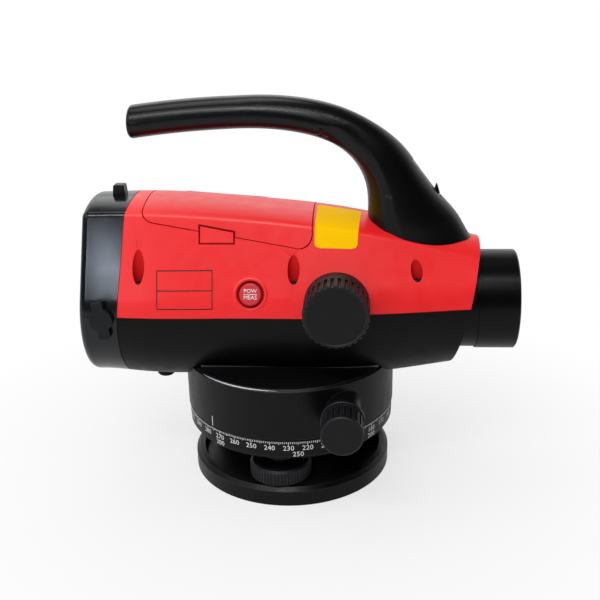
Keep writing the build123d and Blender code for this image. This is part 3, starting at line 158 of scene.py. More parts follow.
def grained(name, colour, drift, roughness, grain_mm, depth_mm, handled=0.06, wear_and_sheen=None, specular=0.5, **shader):
    """A finish with a drifting colour, a handled roughness, a fine grain and, if given, a paler edge colour that
    is partly wear and partly painted highlight.
    """
    material = bpy.data.materials.new(name)
    tree = emptied(material)
    where = add(tree, "ShaderNodeTexCoord").outputs["Object"]
    flow, touch, grain = (add(tree, "ShaderNodeTexNoise", {"Vector": where, "Scale": 1000 / size,
                              "Detail": detail}).outputs["Fac"]
                          for size, detail in ((FLOW_MM, 3.0), (TOUCH_MM, 4.0), (grain_mm, 2.0)))
    tint = add(tree, "ShaderNodeMix", {"Factor": flow, 6: linear(colour), 7: linear(drift)},
               data_type="RGBA").outputs[2]
    rough = add(tree, "ShaderNodeMapRange", {"Value": touch, "From Min": NOISE_LOW, "From Max": NOISE_HIGH,
                "To Min": roughness - handled, "To Max": roughness + handled}).outputs["Result"]
    # The paler edge colour is partly wear and partly a painted highlight along edges.
    if wear_and_sheen:
        rounded = add(tree, "ShaderNodeBevel", {"Radius": EDGE_MM * MM}, samples=4).outputs["Normal"]
        face = add(tree, "ShaderNodeNewGeometry").outputs["Normal"]
        facing = add(tree, "ShaderNodeVectorMath", {0: rounded, 1: face},
                     operation="DOT_PRODUCT").outputs["Value"]
        edge = add(tree, "ShaderNodeMapRange", {"Value": facing, "From Min": FACE_COSINE,
                   "From Max": EDGE_COSINE, "To Min": 0.0, "To Max": 1.0}).outputs["Result"]
        wear_and_sheen_share = add(tree, "ShaderNodeMath", {0: edge, 1: touch}, operation="MULTIPLY").outputs[0]
        tint = add(tree, "ShaderNodeMix", {"Factor": wear_and_sheen_share, 6: tint, 7: linear(wear_and_sheen)},
                   data_type="RGBA").outputs[2]
    bump = add(tree, "ShaderNodeBump", {"Height": grain, "Distance": depth_mm * MM,
               "Strength": GRAIN_STRENGTH}).outputs["Normal"]
    inputs = {"Base Color": tint, "Roughness": rough, "Normal": bump, "Specular IOR Level": specular}
    inputs.update({key.replace("_", " "): value for key, value in shader.items()})
    body = add(tree, "ShaderNodeBsdfPrincipled", inputs)
    add(tree, "ShaderNodeOutputMaterial", {"Surface": body.outputs["BSDF"]})
    return material


print("colour drifts over", FLOW_MM, "mm, handling over", TOUCH_MM, "mm")

# %% [markdown]
# ## Plastics, rubber and inks
# The upper cover is bright red ABS from an eroded mould, so its shine is soft and broad. The lower housing
# is black with a coarser texture. The handle is smoother and catches a sharper light. The rear cover is a
# slightly blue dark grey and the glossiest of the plastics. Nylon knobs and rubber keys are duller and paler
# at their edges, from wear and, on the knobs, from a painted highlight. The foil and the inks hardly shine.
# The dark red in the wells and gaps is painted shade.

# %% Plastic finishes
red_abs = grained("red_abs_eroded", "#F22426", "#EC1E21", 0.38, 0.7, 0.006, IOR=1.53, specular=0.4)
button_abs = grained("dark_red_abs", "#C9222A", "#BE1D25", 0.42, 0.6, 0.006, IOR=1.53)
black_shell = grained("black_abs_textured", "#080809", "#0B0B0C", 0.42, 0.8, 0.012, IOR=1.52, specular=0.13)
rear_abs = grained("blue_grey_abs", "#0D0F13", "#111418", 0.19, 0.7, 0.0008, handled=0.01,
                   IOR=1.52, specular=0.32)
handle_abs = grained("smooth_black_abs", "#050506", "#070708", 0.29, 0.9, 0.0003, handled=0.008,
                     IOR=1.53, specular=0.24)
# The pale edge colours below are partly wear and, on the knobs, partly a painted highlight on the serrations.
knob_nylon = grained("black_nylon", "#0C0C0E", "#101012", 0.46, 0.6, 0.012, wear_and_sheen="#55575D",
                     IOR=1.53, specular=0.2)
black_rubber = grained("black_rubber", "#0F1013", "#131417", 0.58, 0.5, 0.015, wear_and_sheen="#26282E",
                       IOR=1.52, specular=0.25)
battery_case = grained("battery_case_abs", "#15161A", "#1A1B20", 0.48, 0.7, 0.01, wear_and_sheen="#3A3C44", IOR=1.52)
display_glass = grained("display_polarizer", "#7C866F", "#838D76", 0.16, 0.5, 0.001, IOR=1.5)
board_resist = grained("green_solder_resist", "#14482B", "#1B5A36", 0.30, 2.6, 0.02, IOR=1.5)
yellow_foil = grained("yellow_vinyl_foil", "#FFC600", "#FAC000", 0.55, 0.8, 0.002, IOR=1.49, specular=0.04)
well_shade_red = grained("painted_well_shade", "#D4191D", "#BE1418", 0.6, 0.7, 0.01, IOR=1.53, specular=0.1)
# Painted shade: darker reds for the shade on the walls of the screw wells and in the gaps round the door, latch
# and button.
gap_shade_red = grained("painted_gap_shade", "#8E0C11", "#7C090E", 0.8, 0.4, 0.01, IOR=1.5, specular=0.05)
key_print = grained("grey_printing_ink", "#B9BFC4", "#ABB2B8", 0.50, 0.4, 0.002, IOR=1.5)
segment_ink = grained("dark_display_segments", "#1B2019", "#22281F", 0.25, 0.4, 0.001, IOR=1.5)
white_print = grained("white_printing_ink", "#E9EAEA", "#DFE1E1", 0.50, 0.4, 0.002, IOR=1.5)
black_print = grained("black_printing_ink", "#201012", "#24090B", 0.50, 0.4, 0.002, IOR=1.5)
print("materials so far, with the frame's own:", len(bpy.data.materials))

# %% [markdown]
# ## Metals and glass
# The base, head, circle, drum and tube are light alloy under a black coating, so they reflect like a
# lacquer rather than like bare metal. Their edges show pale, partly as wear of the coat and partly as a
# painted highlight, and a pale grey draws two painted highlight lines. Turned steel, brass and
# machined alloy are inside or underneath. Optical glass carries a thin coating that we stand in for with a
# faint green tint.

# %% Metal and glass finishes
# Its pale edge colour is partly wear and partly a painted highlight on rims such as the drum's.
black_coat = grained("black_coated_alloy", "#09090A", "#0C0C0D", 0.36, 0.6, 0.006, wear_and_sheen="#56585C",
                     IOR=1.55, specular=0.14)
barrel_coat = grained("gloss_black_lacquer", "#040405", "#060607", 0.30, 0.8, 0.002, handled=0.03,
                      IOR=1.55, specular=0.13)
black_oxide = grained("black_oxide_steel", "#1B1B1C", "#242426", 0.42, 1.0, 0.004, wear_and_sheen="#5A5A5C", Metallic=0.6)
# Painted highlight: a pale grey for two lines of light caught on edges, laid further below.
painted_edge_highlight = grained("painted_highlight_grey", "#BFC3C7", "#A4A8AD", 0.38, 0.6, 0.003, IOR=1.5)
machined_alloy = grained("machined_alloy", "#C4C6C9", "#B4B7BB", 0.34, 1.2, 0.006, Metallic=1.0)
turned_steel = grained("turned_steel", "#A9ABAD", "#BDBFC0", 0.28, 1.0, 0.004, Metallic=1.0)
turned_brass = grained("turned_brass", "#C9A25A", "#B98F47", 0.30, 1.0, 0.004, Metallic=1.0)
lens_glass = grained("coated_crown_glass", "#DDEBE4", "#D8E6E4", 0.05, 3.0, 0.0005, handled=0.02, IOR=1.52,
                     Transmission_Weight=1.0)
air_bubble = grained("air_bubble_in_level", "#F1F6CC", "#ECF2C0", 0.08, 3.0, 0.0005, handled=0.02, IOR=1.2,
                     Transmission_Weight=0.4)
level_fluid = grained("level_vial_fluid", "#C9D86A", "#C0D25F", 0.06, 3.0, 0.0005, handled=0.02, IOR=1.47,
                      Transmission_Weight=0.8)
print("materials with metals and glass:", len(bpy.data.materials))

# %% [markdown]
# ## A finish for each piece
# The pieces from CAD have names, so each finish gets the list of those that are made of it. What is left over
# is printed, and nothing should be.

# %% Finishes by name
finish_of = {
    red_abs: ["upper_cover", "battery_door", "door_latch"],
    button_abs: ["measure_button"],
    black_shell: ["lower_housing", "port_socket", "adjuster_plug", "battery_shelf"],
    rear_abs: ["rear_cover", "rear_panel"],
    handle_abs: ["handle", "rear_sight", "front_sight"],
    knob_nylon: ["tangent_knob_near", "tangent_knob_far", "focus_knob", "foot_knob_1", "foot_knob_2",
                 "foot_knob_3", "eyepiece_ring"],
    black_rubber: ["keypad", "port_cap"],
    black_coat: ["base_plate", "tribrach", "drum", "circle_ring", "eyepiece_tube"],
    barrel_coat: ["telescope_tube", "lens_ring"],
    turned_steel: ["spring_plate", "clutch_spring", "worm_shaft", "spindle", "focus_shaft", "door_pin",
                   "level_housing"],
    black_oxide: ["cover_screws", "foot_bushes", "foot_screw_1", "foot_screw_2", "foot_screw_3"],
    turned_brass: ["axis_bush", "worm_wheel", "spindle_nut"],
    machined_alloy: ["focus_carriage", "chassis", "compensator_frame", "pendulum", "splitter_seat"],
    lens_glass: ["objective_lens", "focus_lens", "beam_splitter", "eye_lens"],
    level_fluid: ["level_vial"],
    board_resist: ["sensor_board", "main_board"],
    display_glass: ["display"],
    battery_case: ["battery"],
}
for material, names in finish_of.items():
    for name in names:
        nodes[name].data.materials.clear()
        nodes[name].data.materials.append(material)
left_out = set(nodes) - {name for names in finish_of.values() for name in names}
print("finishes:", len(finish_of), "nodes without one:", sorted(left_out))

# %% [markdown]
# ## The graduated circle
# The ring under the drum has a white line for each degree, a longer one at each five and the longest at
# each ten, and the lines lean with the cone. Three hundred and sixty lines that differ only in angle and
# length are work for Geometry Nodes: points on a circle, one small bar on each, its length chosen from
# the point's index.

# %% Degree lines by Geometry Nodes
ring_low, ring_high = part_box("circle_ring")
CONE_TOP_R, CONE_LOW_R = ring_high.x, 59.3 * MM
CONE_TOP_Z, CONE_LOW_Z = ring_high.z - 0.5 * MM, ring_low.z + 0.6 * MM
CONE_LEAN = atan2(CONE_TOP_R - CONE_LOW_R, CONE_TOP_Z - CONE_LOW_Z)
FRONT_TURN, FRONT_READING = -97.3, 240  # degrees about the axis, and the reading that stands there
ZERO_ANGLE = radians(FRONT_TURN + FRONT_READING)


def end_tree(tree, instances, material):
    """The end of a tree that repeats a shape: instances are made real, get their finish and go out."""
    real = add(tree, "GeometryNodeRealizeInstances", {"Geometry": instances}).outputs[0]
    painted = add(tree, "GeometryNodeSetMaterial", {"Geometry": real, "Material": material}).outputs[0]
    add(tree, "NodeGroupOutput", {"Geometry": painted})


def tick_tree():
    """A tree that draws the degree lines down from the ring's upper edge."""
    tree, given = new_tree("degree_lines", Count=360, Radius=CONE_TOP_R, Height=CONE_TOP_Z, Lean=CONE_LEAN,
                           Width=0.30 * MM, Depth=0.12 * MM, Short=1.1 * MM, Middle=1.6 * MM, Long=2.0 * MM,
                           Start=ZERO_ANGLE)
    index = add(tree, "GeometryNodeInputIndex").outputs["Index"]
    step = add(tree, "ShaderNodeMath", {0: 2 * pi, 1: given["Count"]}, operation="DIVIDE").outputs[0]
    turn = add(tree, "ShaderNodeMath", {0: index, 1: step}, operation="MULTIPLY").outputs[0]
    angle = add(tree, "ShaderNodeMath", {0: given["Start"], 1: turn}, operation="SUBTRACT").outputs[0]
    length = given["Short"]
    for every, longer in ((5, given["Middle"]), (10, given["Long"])):
        rest = add(tree, "ShaderNodeMath", {0: index, 1: every}, operation="MODULO").outputs[0]
        here = add(tree, "ShaderNodeMath", {0: rest, 1: 0.5}, operation="LESS_THAN").outputs[0]
        length = add(tree, "ShaderNodeMix", {0: here, 2: length, 3: longer}).outputs[0]
    half = add(tree, "ShaderNodeMath", {0: length, 1: 0.5}, operation="MULTIPLY").outputs[0]
    middle = []
    for edge, wave in ((given["Radius"], "SINE"), (given["Height"], "COSINE")):
        lean = add(tree, "ShaderNodeMath", {0: given["Lean"]}, operation=wave).outputs[0]
        drop = add(tree, "ShaderNodeMath", {0: half, 1: lean}, operation="MULTIPLY").outputs[0]
        middle.append(add(tree, "ShaderNodeMath", {0: edge, 1: drop}, operation="SUBTRACT").outputs[0])
    flat = add(tree, "ShaderNodeCombineXYZ", {0: middle[0], 2: middle[1]}).outputs[0]
    place = add(tree, "ShaderNodeVectorRotate", {"Vector": flat, "Angle": angle},
                rotation_type="Z_AXIS").outputs[0]
    points = add(tree, "GeometryNodePoints", {"Count": given["Count"], "Position": place}).outputs[0]
    bar_size = add(tree, "ShaderNodeCombineXYZ", {0: given["Depth"], 1: given["Width"], 2: 1.0}).outputs[0]
    bar = add(tree, "GeometryNodeMeshCube", {"Size": bar_size}).outputs[0]
    turned = add(tree, "ShaderNodeCombineXYZ", {1: given["Lean"], 2: angle}).outputs[0]
    stretch = add(tree, "ShaderNodeCombineXYZ", {0: 1.0, 1: 1.0, 2: length}).outputs[0]
    bars = add(tree, "GeometryNodeInstanceOnPoints", {"Points": points, "Instance": bar, "Rotation": turned,
               "Scale": stretch}).outputs[0]
    end_tree(tree, bars, white_print)
    return tree


def new_piece(mesh, name, body):
    """A finished piece of the visual model, riding on a body."""
    piece = bpy.data.objects.new(name, mesh)
    shown.link(piece)
    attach(piece, body)
    return piece


def made_by(tree, name, body, points=()):
    """A piece with a plain mesh of what a node tree makes, on given points if it needs them."""
    start = bpy.data.meshes.new(name)
    start.from_pydata(list(points), [], [])
    carrier = bpy.data.objects.new(name + "_maker", start)
    shown.link(carrier)
    carrier.modifiers.new("make", "NODES").node_group = tree
    bpy.context.view_layer.update()
    ready = carrier.evaluated_get(bpy.context.evaluated_depsgraph_get())
    mesh = bpy.data.meshes.new_from_object(ready)
    bpy.data.objects.remove(carrier)
    return new_piece(mesh, name, body)


ticks = made_by(tick_tree(), "degree_lines", "circle")
print("degree lines:", len(ticks.data.polygons), "faces")

# %% [markdown]
# ## Numbers on the circle
# Degrees run clockwise in tens and a second row counts in gon, four hundred to the circle. Text is made
# flat, turned into a mesh, and each of its points is then carried to the cone: its height becomes a
# distance down the cone and its width an angle.

# %% Numbers bent to the cone
FIGURE_SHARE = 0.7
PRINT_LIFT = 0.06 * MM
DIGIT_H = 2.9 * MM
DEGREE_ROW, GON_ROW = 3.9 * MM, 7.6 * MM
DEGREES_PER_GON = 0.9


def write(shape, words, height, carry):
    """Add text to a shape: made flat and centred, with figures of a given height, then carried by points."""
    curve = bpy.data.curves.new("words", "FONT")
    curve.body = words
    curve.size = height / FIGURE_SHARE
    curve.align_x = curve.align_y = "CENTER"
    curve.resolution_u = 2
    maker = bpy.data.objects.new("words_maker", curve)
    shown.link(maker)
    mesh = bpy.data.meshes.new_from_object(maker)
    bpy.data.objects.remove(maker)
    for vert in mesh.vertices:
        vert.co = carry(vert.co)
    shape.from_mesh(mesh)
    bpy.data.meshes.remove(mesh)


def piece_from(shape, name, material, body, smooth=False):
    """A finished piece from a bmesh, shaded smooth if asked for, riding on a body."""
    for face in shape.faces:
        face.smooth = face.smooth or smooth
    mesh = bpy.data.meshes.new(name)
    shape.to_mesh(mesh)
    shape.free()
    mesh.materials.append(material)
    return new_piece(mesh, name, body)


def on_cone(reading, down, aside):
    """A point on the ring: the reading in degrees, a distance below the upper edge and one to the side."""
    bare = CONE_TOP_R - down * sin(CONE_LEAN)
    angle = ZERO_ANGLE - radians(reading) + aside / bare
    r = bare + PRINT_LIFT * cos(CONE_LEAN)
    z = CONE_TOP_Z - down * cos(CONE_LEAN) - PRINT_LIFT * sin(CONE_LEAN)
    return Vector((r * cos(angle), r * sin(angle), z))


numbers = bmesh.new()
rows = [(n, n, DEGREE_ROW) for n in range(0, 360, 10)]
rows += [(n, n * DEGREES_PER_GON, GON_ROW) for n in range(0, 400, 50)]
for number, reading, row in rows:
    write(numbers, str(number), DIGIT_H, lambda co: on_cone(reading, row - co.y, co.x))
piece_from(numbers, "circle_numbers", white_print, "circle")
print("numbers:", len(rows))

# %% [markdown]
# ## Index line on the drum
# A short white line on the drum's lower edge is read against the circle. It is a thin strip that follows
# the drum's round wall. One helper stretches faces over rows of points, and makes most marks below too.

# %% Index line
drum_low, drum_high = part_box("drum")
DRUM_R = drum_high.x
INDEX_DEGREES, INDEX_HALF, INDEX_LIFT = -132.0, 0.22 * MM, 0.05 * MM
INDEX_Z = (drum_low.z + 6.6 * MM, drum_low.z + 0.5 * MM)


def skin(shape, rows, closed=False):
    """Faces over rows of points. They look along the way in a row crossed with the way to the next row."""
    grid = [[shape.verts.new(point) for point in row] for row in rows]
    for near, far in zip(grid, grid[1:] + (grid[:1] if closed else [])):
        for corners in zip(near, near[1:], far[1:], far):
            shape.faces.new(corners)
    return grid


rows = []
for side in (-1, 1):
    angle = radians(INDEX_DEGREES) + side * INDEX_HALF / DRUM_R
    r = DRUM_R + INDEX_LIFT
    rows.append([(r * cos(angle), r * sin(angle), z) for z in INDEX_Z])
index_shape = bmesh.new()
skin(index_shape, rows)
piece_from(index_shape, "index_line", white_print, "alidade")
print("index line at", INDEX_DEGREES, "degrees")

# %% [markdown]
# ## Marks that lie on the cover
# The plate on the cover's side and the foil beside the handle follow the moulded wall, which is round below
# and straight above. We cast rays from outside on the cover's own mesh, so that each point of a mark lies
# on the wall that carries it.

# %% Rays on the cover
AXIS_Z = 101.5 * MM
MIDDLE_Z = AXIS_Z + 12 * MM
FAR = 0.2
depsgraph = bpy.context.evaluated_depsgraph_get()
cover_tree = BVHTree.FromObject(nodes["upper_cover"], depsgraph)


def meet(tree, start, way, lift):
    """The point where a ray meets a mesh, lifted off its face."""
    hit, normal, _, _ = tree.ray_cast(start, way)
    return hit + normal * lift


print("rays will meet", len(nodes["upper_cover"].data.polygons), "faces of the cover")

# %% [markdown]
# ## The bare plate
# A framed field with a line across it stands on the cover's side. It stays empty: only its printed frame
# is made, of five narrow ribbons.

# %% Plate frame
PLATE_X = (-67.0 * MM, -37.0 * MM)
PLATE_Z = (110.3 * MM, 119.6 * MM, 129.6 * MM)
LINE, LINE_LIFT = 0.5 * MM, 0.09 * MM
LINE_STEPS = 10


def steps(count):
    """Shares from 0 to 1 in even steps."""
    return [k / count for k in range(count + 1)]


def between(ends, share):
    """The value at a share of the way between two others."""
    return ends[0] + (ends[1] - ends[0]) * share


def on_side(x, z):
    """A point on the cover's near wall, met along Y."""
    return meet(cover_tree, Vector((x, -FAR, z)), Y, LINE_LIFT)


plate_lines = bmesh.new()
for z in PLATE_Z:
    skin(plate_lines, [[on_side(between(PLATE_X, t), z + w) for w in (LINE, 0)] for t in steps(LINE_STEPS)])
for x in (PLATE_X[0], PLATE_X[1] - LINE):
    skin(plate_lines, [[on_side(x + w, between(PLATE_Z[::2], t)) for w in (0, LINE)] for t in steps(LINE_STEPS)])
piece_from(plate_lines, "plate_frame", black_print, "alidade")
print("plate", *(round((ends[-1] - ends[0]) / MM, 1) for ends in (PLATE_X, PLATE_Z)), "mm")

# %% [markdown]
# ## The blank foil
# A yellow foil with rounded corners is stuck over the cover's upper crease beside the handle. It is a grid
# laid on the cover by rays towards a line above the telescope axis, so that it bends round the crease. Near
# its two ends a row is shorter by as much as a circle in the corner takes away.

# %% Yellow foil
FOIL_LEFT, FOIL_RIGHT = (16.8 * MM, 17.6 * MM), (39.3 * MM, 41.8 * MM)
FOIL_UP = (42.8, 99.0)
FOIL_CORNER, FOIL_LENGTH, FOIL_LIFT = 3.0 * MM, 45 * MM, 0.14 * MM
COLUMNS, LINES = 24, 60


def on_cover(x, up):
    """The cover's near wall at x, seen from the line above the axis at an angle in degrees."""
    way = Vector((0, -cos(radians(up)), sin(radians(up))))
    return meet(cover_tree, Vector((x, 0, MIDDLE_Z)) + way * FAR, -way, FOIL_LIFT)


rows = []
for t in steps(LINES):
    to_end = min(t, 1 - t) * FOIL_LENGTH
    short = FOIL_CORNER - (FOIL_CORNER ** 2 - max(0.0, FOIL_CORNER - to_end) ** 2) ** 0.5
    ends = between(FOIL_LEFT, t) + short, between(FOIL_RIGHT, t) - short
    rows.append([on_cover(between(ends, s), between(FOIL_UP, t)) for s in steps(COLUMNS)])
foil = bmesh.new()
skin(foil, rows)
foil_piece = piece_from(foil, "blank_foil", yellow_foil, "alidade", smooth=True)
print("foil faces:", len(foil_piece.data.polygons))

# %% [markdown]
# ## Painted shade in the gaps round the door and the latch
# The shade in the gap round the battery door and its latch is painted as a dark red line along their
# outline. We find the outer rim in the door's own mesh, as the edges between a face that looks outwards and
# a wall, and lay a narrow ribbon just inside it. The knuckles round the hinge pin get none.

# %% Outline ribbons of painted shade
pin_low, pin_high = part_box("door_pin")
PIN_R = (pin_high.y - pin_low.y) / 2
PIN_A = Vector((pin_low.x, pin_low.y + PIN_R, pin_high.z - PIN_R))
PIN_WAY = (Vector((pin_high.x, pin_low.y + PIN_R, pin_low.z + PIN_R)) - PIN_A).normalized()
KNUCKLE_R = 4 * MM
SKIN_COSINE, WALL_COSINE = 0.75, 0.45
LATCH_OUT = Vector((0, -0.9303, 0.3668))


def from_middle(point):
    """Outwards from the line above the telescope axis."""
    return Vector((0, point.y, point.z - MIDDLE_Z)).normalized()


def rim_ribbon(node, outward, width, name, body):
    """A ribbon along the outer rim of a node. outward(point) gives the outward direction there."""
    shape = bmesh.new()
    shape.from_mesh(nodes[node].data)
    bmesh.ops.remove_doubles(shape, verts=shape.verts, dist=SAME_POINT)
    shape.normal_update()
    inward, up, rim = {}, {}, []
    for edge in shape.edges:
        middle = (edge.verts[0].co + edge.verts[1].co) / 2
        to_pin = (middle - PIN_A).cross(PIN_WAY).length
        if len(edge.link_faces) != 2 or to_pin < KNUCKLE_R:
            continue
        facing = [face.normal.dot(outward(middle)) for face in edge.link_faces]
        if max(facing) < SKIN_COSINE or min(facing) > WALL_COSINE:
            continue
        top = edge.link_faces[facing.index(max(facing))]
        side = top.normal.cross((edge.verts[1].co - edge.verts[0].co).normalized())
        if side.dot(top.calc_center_median() - middle) < 0:
            side = -side
        rim.append(edge)
        for vert in edge.verts:
            inward[vert] = inward.get(vert, Vector()) + side
            up[vert] = up.get(vert, Vector()) + top.normal
    ribbon = bmesh.new()
    pair = {}
    for vert, side in inward.items():
        outer = vert.co + up[vert].normalized() * PRINT_LIFT
        pair[vert] = ribbon.verts.new(outer), ribbon.verts.new(outer + side.normalized() * width)
    for edge in rim:
        (a, b), (c, d) = pair[edge.verts[0]], pair[edge.verts[1]]
        ribbon.faces.new((a, c, d, b))
    ribbon.normal_update()
    for face in ribbon.faces:
        if face.normal.dot(outward(face.calc_center_median())) < 0:
            face.normal_flip()
    shape.free()
    print(name, len(rim), "edges")
    # The ribbon is dark red painted shade in the gap.
    piece_from(ribbon, name, gap_shade_red, body)


rim_ribbon("battery_door", from_middle, 0.18 * MM, "door_gap", "door")
rim_ribbon("door_latch", lambda point: LATCH_OUT, 0.7 * MM, "latch_gap", "latch")

# %% [markdown]
# ## Screw wells
# Six screws hold the cover, each deep in a well of the moulding, where little light gets in. A dark red liner
# is painted shade on the wall of each well: its upper rim follows the cover, found by rays from above. As a
# piece of its own it leaves the cover's mesh as it is.

# %% Well liners of painted shade
WELLS = [(x * MM, side * y * MM) for x, y in ((-76.8, 34.3), (5.9, 34.0), (70.7, 29.2)) for side in (-1, 1)]
WELL_R, SEAT_Z = 3.2 * MM, 121.0 * MM
PROBE_R, LINER_R = WELL_R + 0.12 * MM, WELL_R - 0.04 * MM
LINER_FOOT, RIM_DROP, LEAST_WALL = SEAT_Z + 0.03 * MM, 0.25 * MM, 0.1 * MM
WELL_SIDES, HEAD_SIDES, LEVEL_SIDES, BUTTON_SIDES = 40, 24, 48, 64


def around(count):
    """Level directions round a full turn."""
    return [Vector((cos(2 * pi * i / count), sin(2 * pi * i / count), 0)) for i in range(count)]


# Each liner is dark red painted shade on the wall of its well.
well_shade_sheets = bmesh.new()
for x, y in WELLS:
    rows = []
    for way in around(WELL_SIDES):
        hit = cover_tree.ray_cast(Vector((x, y, FAR)) + way * PROBE_R, -Z)[0]
        rim_z = hit.z - RIM_DROP if hit and hit.z > SEAT_Z else SEAT_Z
        foot = Vector((x, y, LINER_FOOT)) + way * LINER_R
        rows.append([foot, Vector((foot.x, foot.y, max(rim_z, LINER_FOOT)))])
    skin(well_shade_sheets, rows, closed=True)
low_walls = []
for face in well_shade_sheets.faces:
    a, b, c, d = (vert.co for vert in face.verts)
    if (a - b).length + (c - d).length <= LEAST_WALL:
        low_walls.append(face)
bmesh.ops.delete(well_shade_sheets, geom=low_walls, context="FACES")
piece_from(well_shade_sheets, "well_liners", well_shade_red, "alidade", smooth=True)
print("liners in", len(WELLS), "wells")

# %% [markdown]
# ## Cross recesses
# Each screw has a crowned head with a cross recess, and no two stop at the same angle. One head is modelled,
# and Geometry Nodes put it on the six places with a chance turn, so that a change to it changes them all.

# %% Cross-recessed heads by Geometry Nodes
HEAD_R, HEAD_H = 2.8 * MM, 2.2 * MM
HEAD_PROFILE = ((HEAD_R, 0.0), (HEAD_R, HEAD_H - 0.9 * MM), (HEAD_R - 0.3 * MM, HEAD_H - 0.35 * MM),
                (HEAD_R - 0.85 * MM, HEAD_H))
CROSS_ARM, CROSS_HALF, CROSS_DEEP, CROSS_TAPER = 1.55 * MM, 0.42 * MM, 1.1 * MM, 0.8


def cross_head():
    """One screw head with its foot at the origin: a crowned rim round a cross-shaped pit."""
    head = bmesh.new()
    side = skin(head, [[way * r + Z * z for r, z in HEAD_PROFILE] for way in around(HEAD_SIDES)], closed=True)
    quarter = ((CROSS_HALF, CROSS_HALF), (CROSS_HALF, CROSS_ARM), (-CROSS_HALF, CROSS_ARM))
    plan = [Matrix.Rotation(k * pi / 2, 3, "Z") @ Vector((x, y, 0)) for k in range(4) for x, y in quarter]
    pit = skin(head, [[p + Z * HEAD_H, p * CROSS_TAPER + Z * (HEAD_H - CROSS_DEEP)] for p in plan], closed=True)
    head.faces.new([row[1] for row in pit])
    loops = [row[-1] for row in side], [row[0] for row in pit]
    rim = [head.edges.get((loop[i - 1], loop[i])) for loop in loops for i in range(len(loop))]
    bmesh.ops.triangle_fill(head, edges=rim, use_beauty=True)
    bmesh.ops.recalc_face_normals(head, faces=head.faces)
    mesh = bpy.data.meshes.new("cross_head")
    head.to_mesh(mesh)
    head.free()
    return mesh


def heads_tree(maker):
    """A tree that puts a head on each given point, turned by chance."""
    tree, given = new_tree("cover_screw_heads", Size=1.0)
    model = add(tree, "GeometryNodeObjectInfo", {"Object": maker}).outputs["Geometry"]
    spin = add(tree, "FunctionNodeRandomValue", {2: 0.0, 3: pi, "Seed": 7}, data_type="FLOAT").outputs[1]
    turned = add(tree, "ShaderNodeCombineXYZ", {2: spin}).outputs[0]
    heads = add(tree, "GeometryNodeInstanceOnPoints", {"Points": given["Geometry"], "Instance": model,
                "Rotation": turned, "Scale": given["Size"]}).outputs[0]
    end_tree(tree, heads, black_oxide)
    return tree


head_maker = bpy.data.objects.new("head_maker", cross_head())
shown.link(head_maker)
heads_piece = made_by(heads_tree(head_maker), "cover_screw_heads", "alidade",
                      [(x, y, SEAT_Z) for x, y in WELLS])
bpy.data.objects.remove(head_maker)
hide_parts("cover_screws")
print("screw heads:", len(heads_piece.data.polygons), "faces")

# %% [markdown]
# ## The handle's foot and its straight end
# The handle is moulded in one piece. A soft crease runs down each side of its foot, where the inner flanks
# are flatter than the rest, and the grip runs out in a gently falling tube with a blunt end. We take a copy
# of the handle's mesh, which will stand for the CAD handle, and make it finer behind the crease, so that the
# points there can be moved in to a slope.

# %% Crease of the foot
handle_tree = BVHTree.FromObject(nodes["handle"], depsgraph)
CREASE = [Vector((x, 0, z)) * MM for x, z in ((37.0, 201.5), (52.4, 185.9), (58.0, 162.8), (64.0, 138.5))]
CREASE_POINTS, CREASE_SLOPE, FADE_H = 40, 0.32, 20 * MM
crease = interpolate_bezier(*CREASE, CREASE_POINTS)
FOOT_X, BESIDE, OVER = 20 * MM, 4 * MM, 2 * MM
FINE_EDGES = (3.0 * MM, 1.6 * MM, 1.6 * MM)
NUDGE = 2e-5


def crease_x(z):
    """The crease's place along X at a height."""
    for above, below in zip(crease, crease[1:]):
        if z >= below.z:
            return between((below.x, above.x), (z - below.z) / (above.z - below.z))
    return crease[-1].x


def half_width(z):
    """The CAD handle's half width at the crease. A ray that slips between two faces is sent again beside it."""
    for near_z in (z, z + NUDGE, z - NUDGE):
        hit = handle_tree.ray_cast(Vector((crease_x(near_z), -FAR, near_z)), Y)[0]
        if hit:
            return abs(hit.y)
    return FAR


def shape_foot(shape):
    """Flatten the foot's inner flanks, behind the crease, on a mesh made finer there."""
    top, low = crease[0].z, crease[-1].z

    def inner(item):
        return all(FOOT_X < v.co.x < crease_x(v.co.z) + BESIDE and v.co.z < top + OVER for v in item.verts)

    for longest in FINE_EDGES:
        edges = [edge for edge in shape.edges if inner(edge) and edge.calc_length() > longest]
        bmesh.ops.subdivide_edges(shape, edges=edges, cuts=1)
        wide = [face for face in shape.faces if len(face.verts) > 3 and inner(face)]
        bmesh.ops.triangulate(shape, faces=wide)
    for vert in shape.verts:
        x, y, z = vert.co
        if FOOT_X < x < crease_x(z) and low < z < top:
            limit = half_width(z) - CREASE_SLOPE * (crease_x(z) - x)
            if abs(y) > limit:
                share = min(1.0, (top - z) / FADE_H)
                vert.co.y = (abs(y) + (limit - abs(y)) * share) * (1 if y > 0 else -1)


CUT_X = -25.0 * MM
grip = bmesh.new()
grip.from_mesh(nodes["handle"].data)
bmesh.ops.remove_doubles(grip, verts=grip.verts, dist=SAME_POINT)
bmesh.ops.bisect_plane(grip, geom=grip.verts[:] + grip.edges[:] + grip.faces[:], dist=1e-6,
                       plane_co=X * CUT_X, plane_no=-X, clear_outer=True)
shape_foot(grip)
print("handle with its creases:", len(grip.faces), "faces")

# %% [markdown]
# The same copy was cut across where the tube starts. Now the loop of the cut is drawn out in steps along the
# falling line, a little wider with each, and it is rounded at the rim and closed.

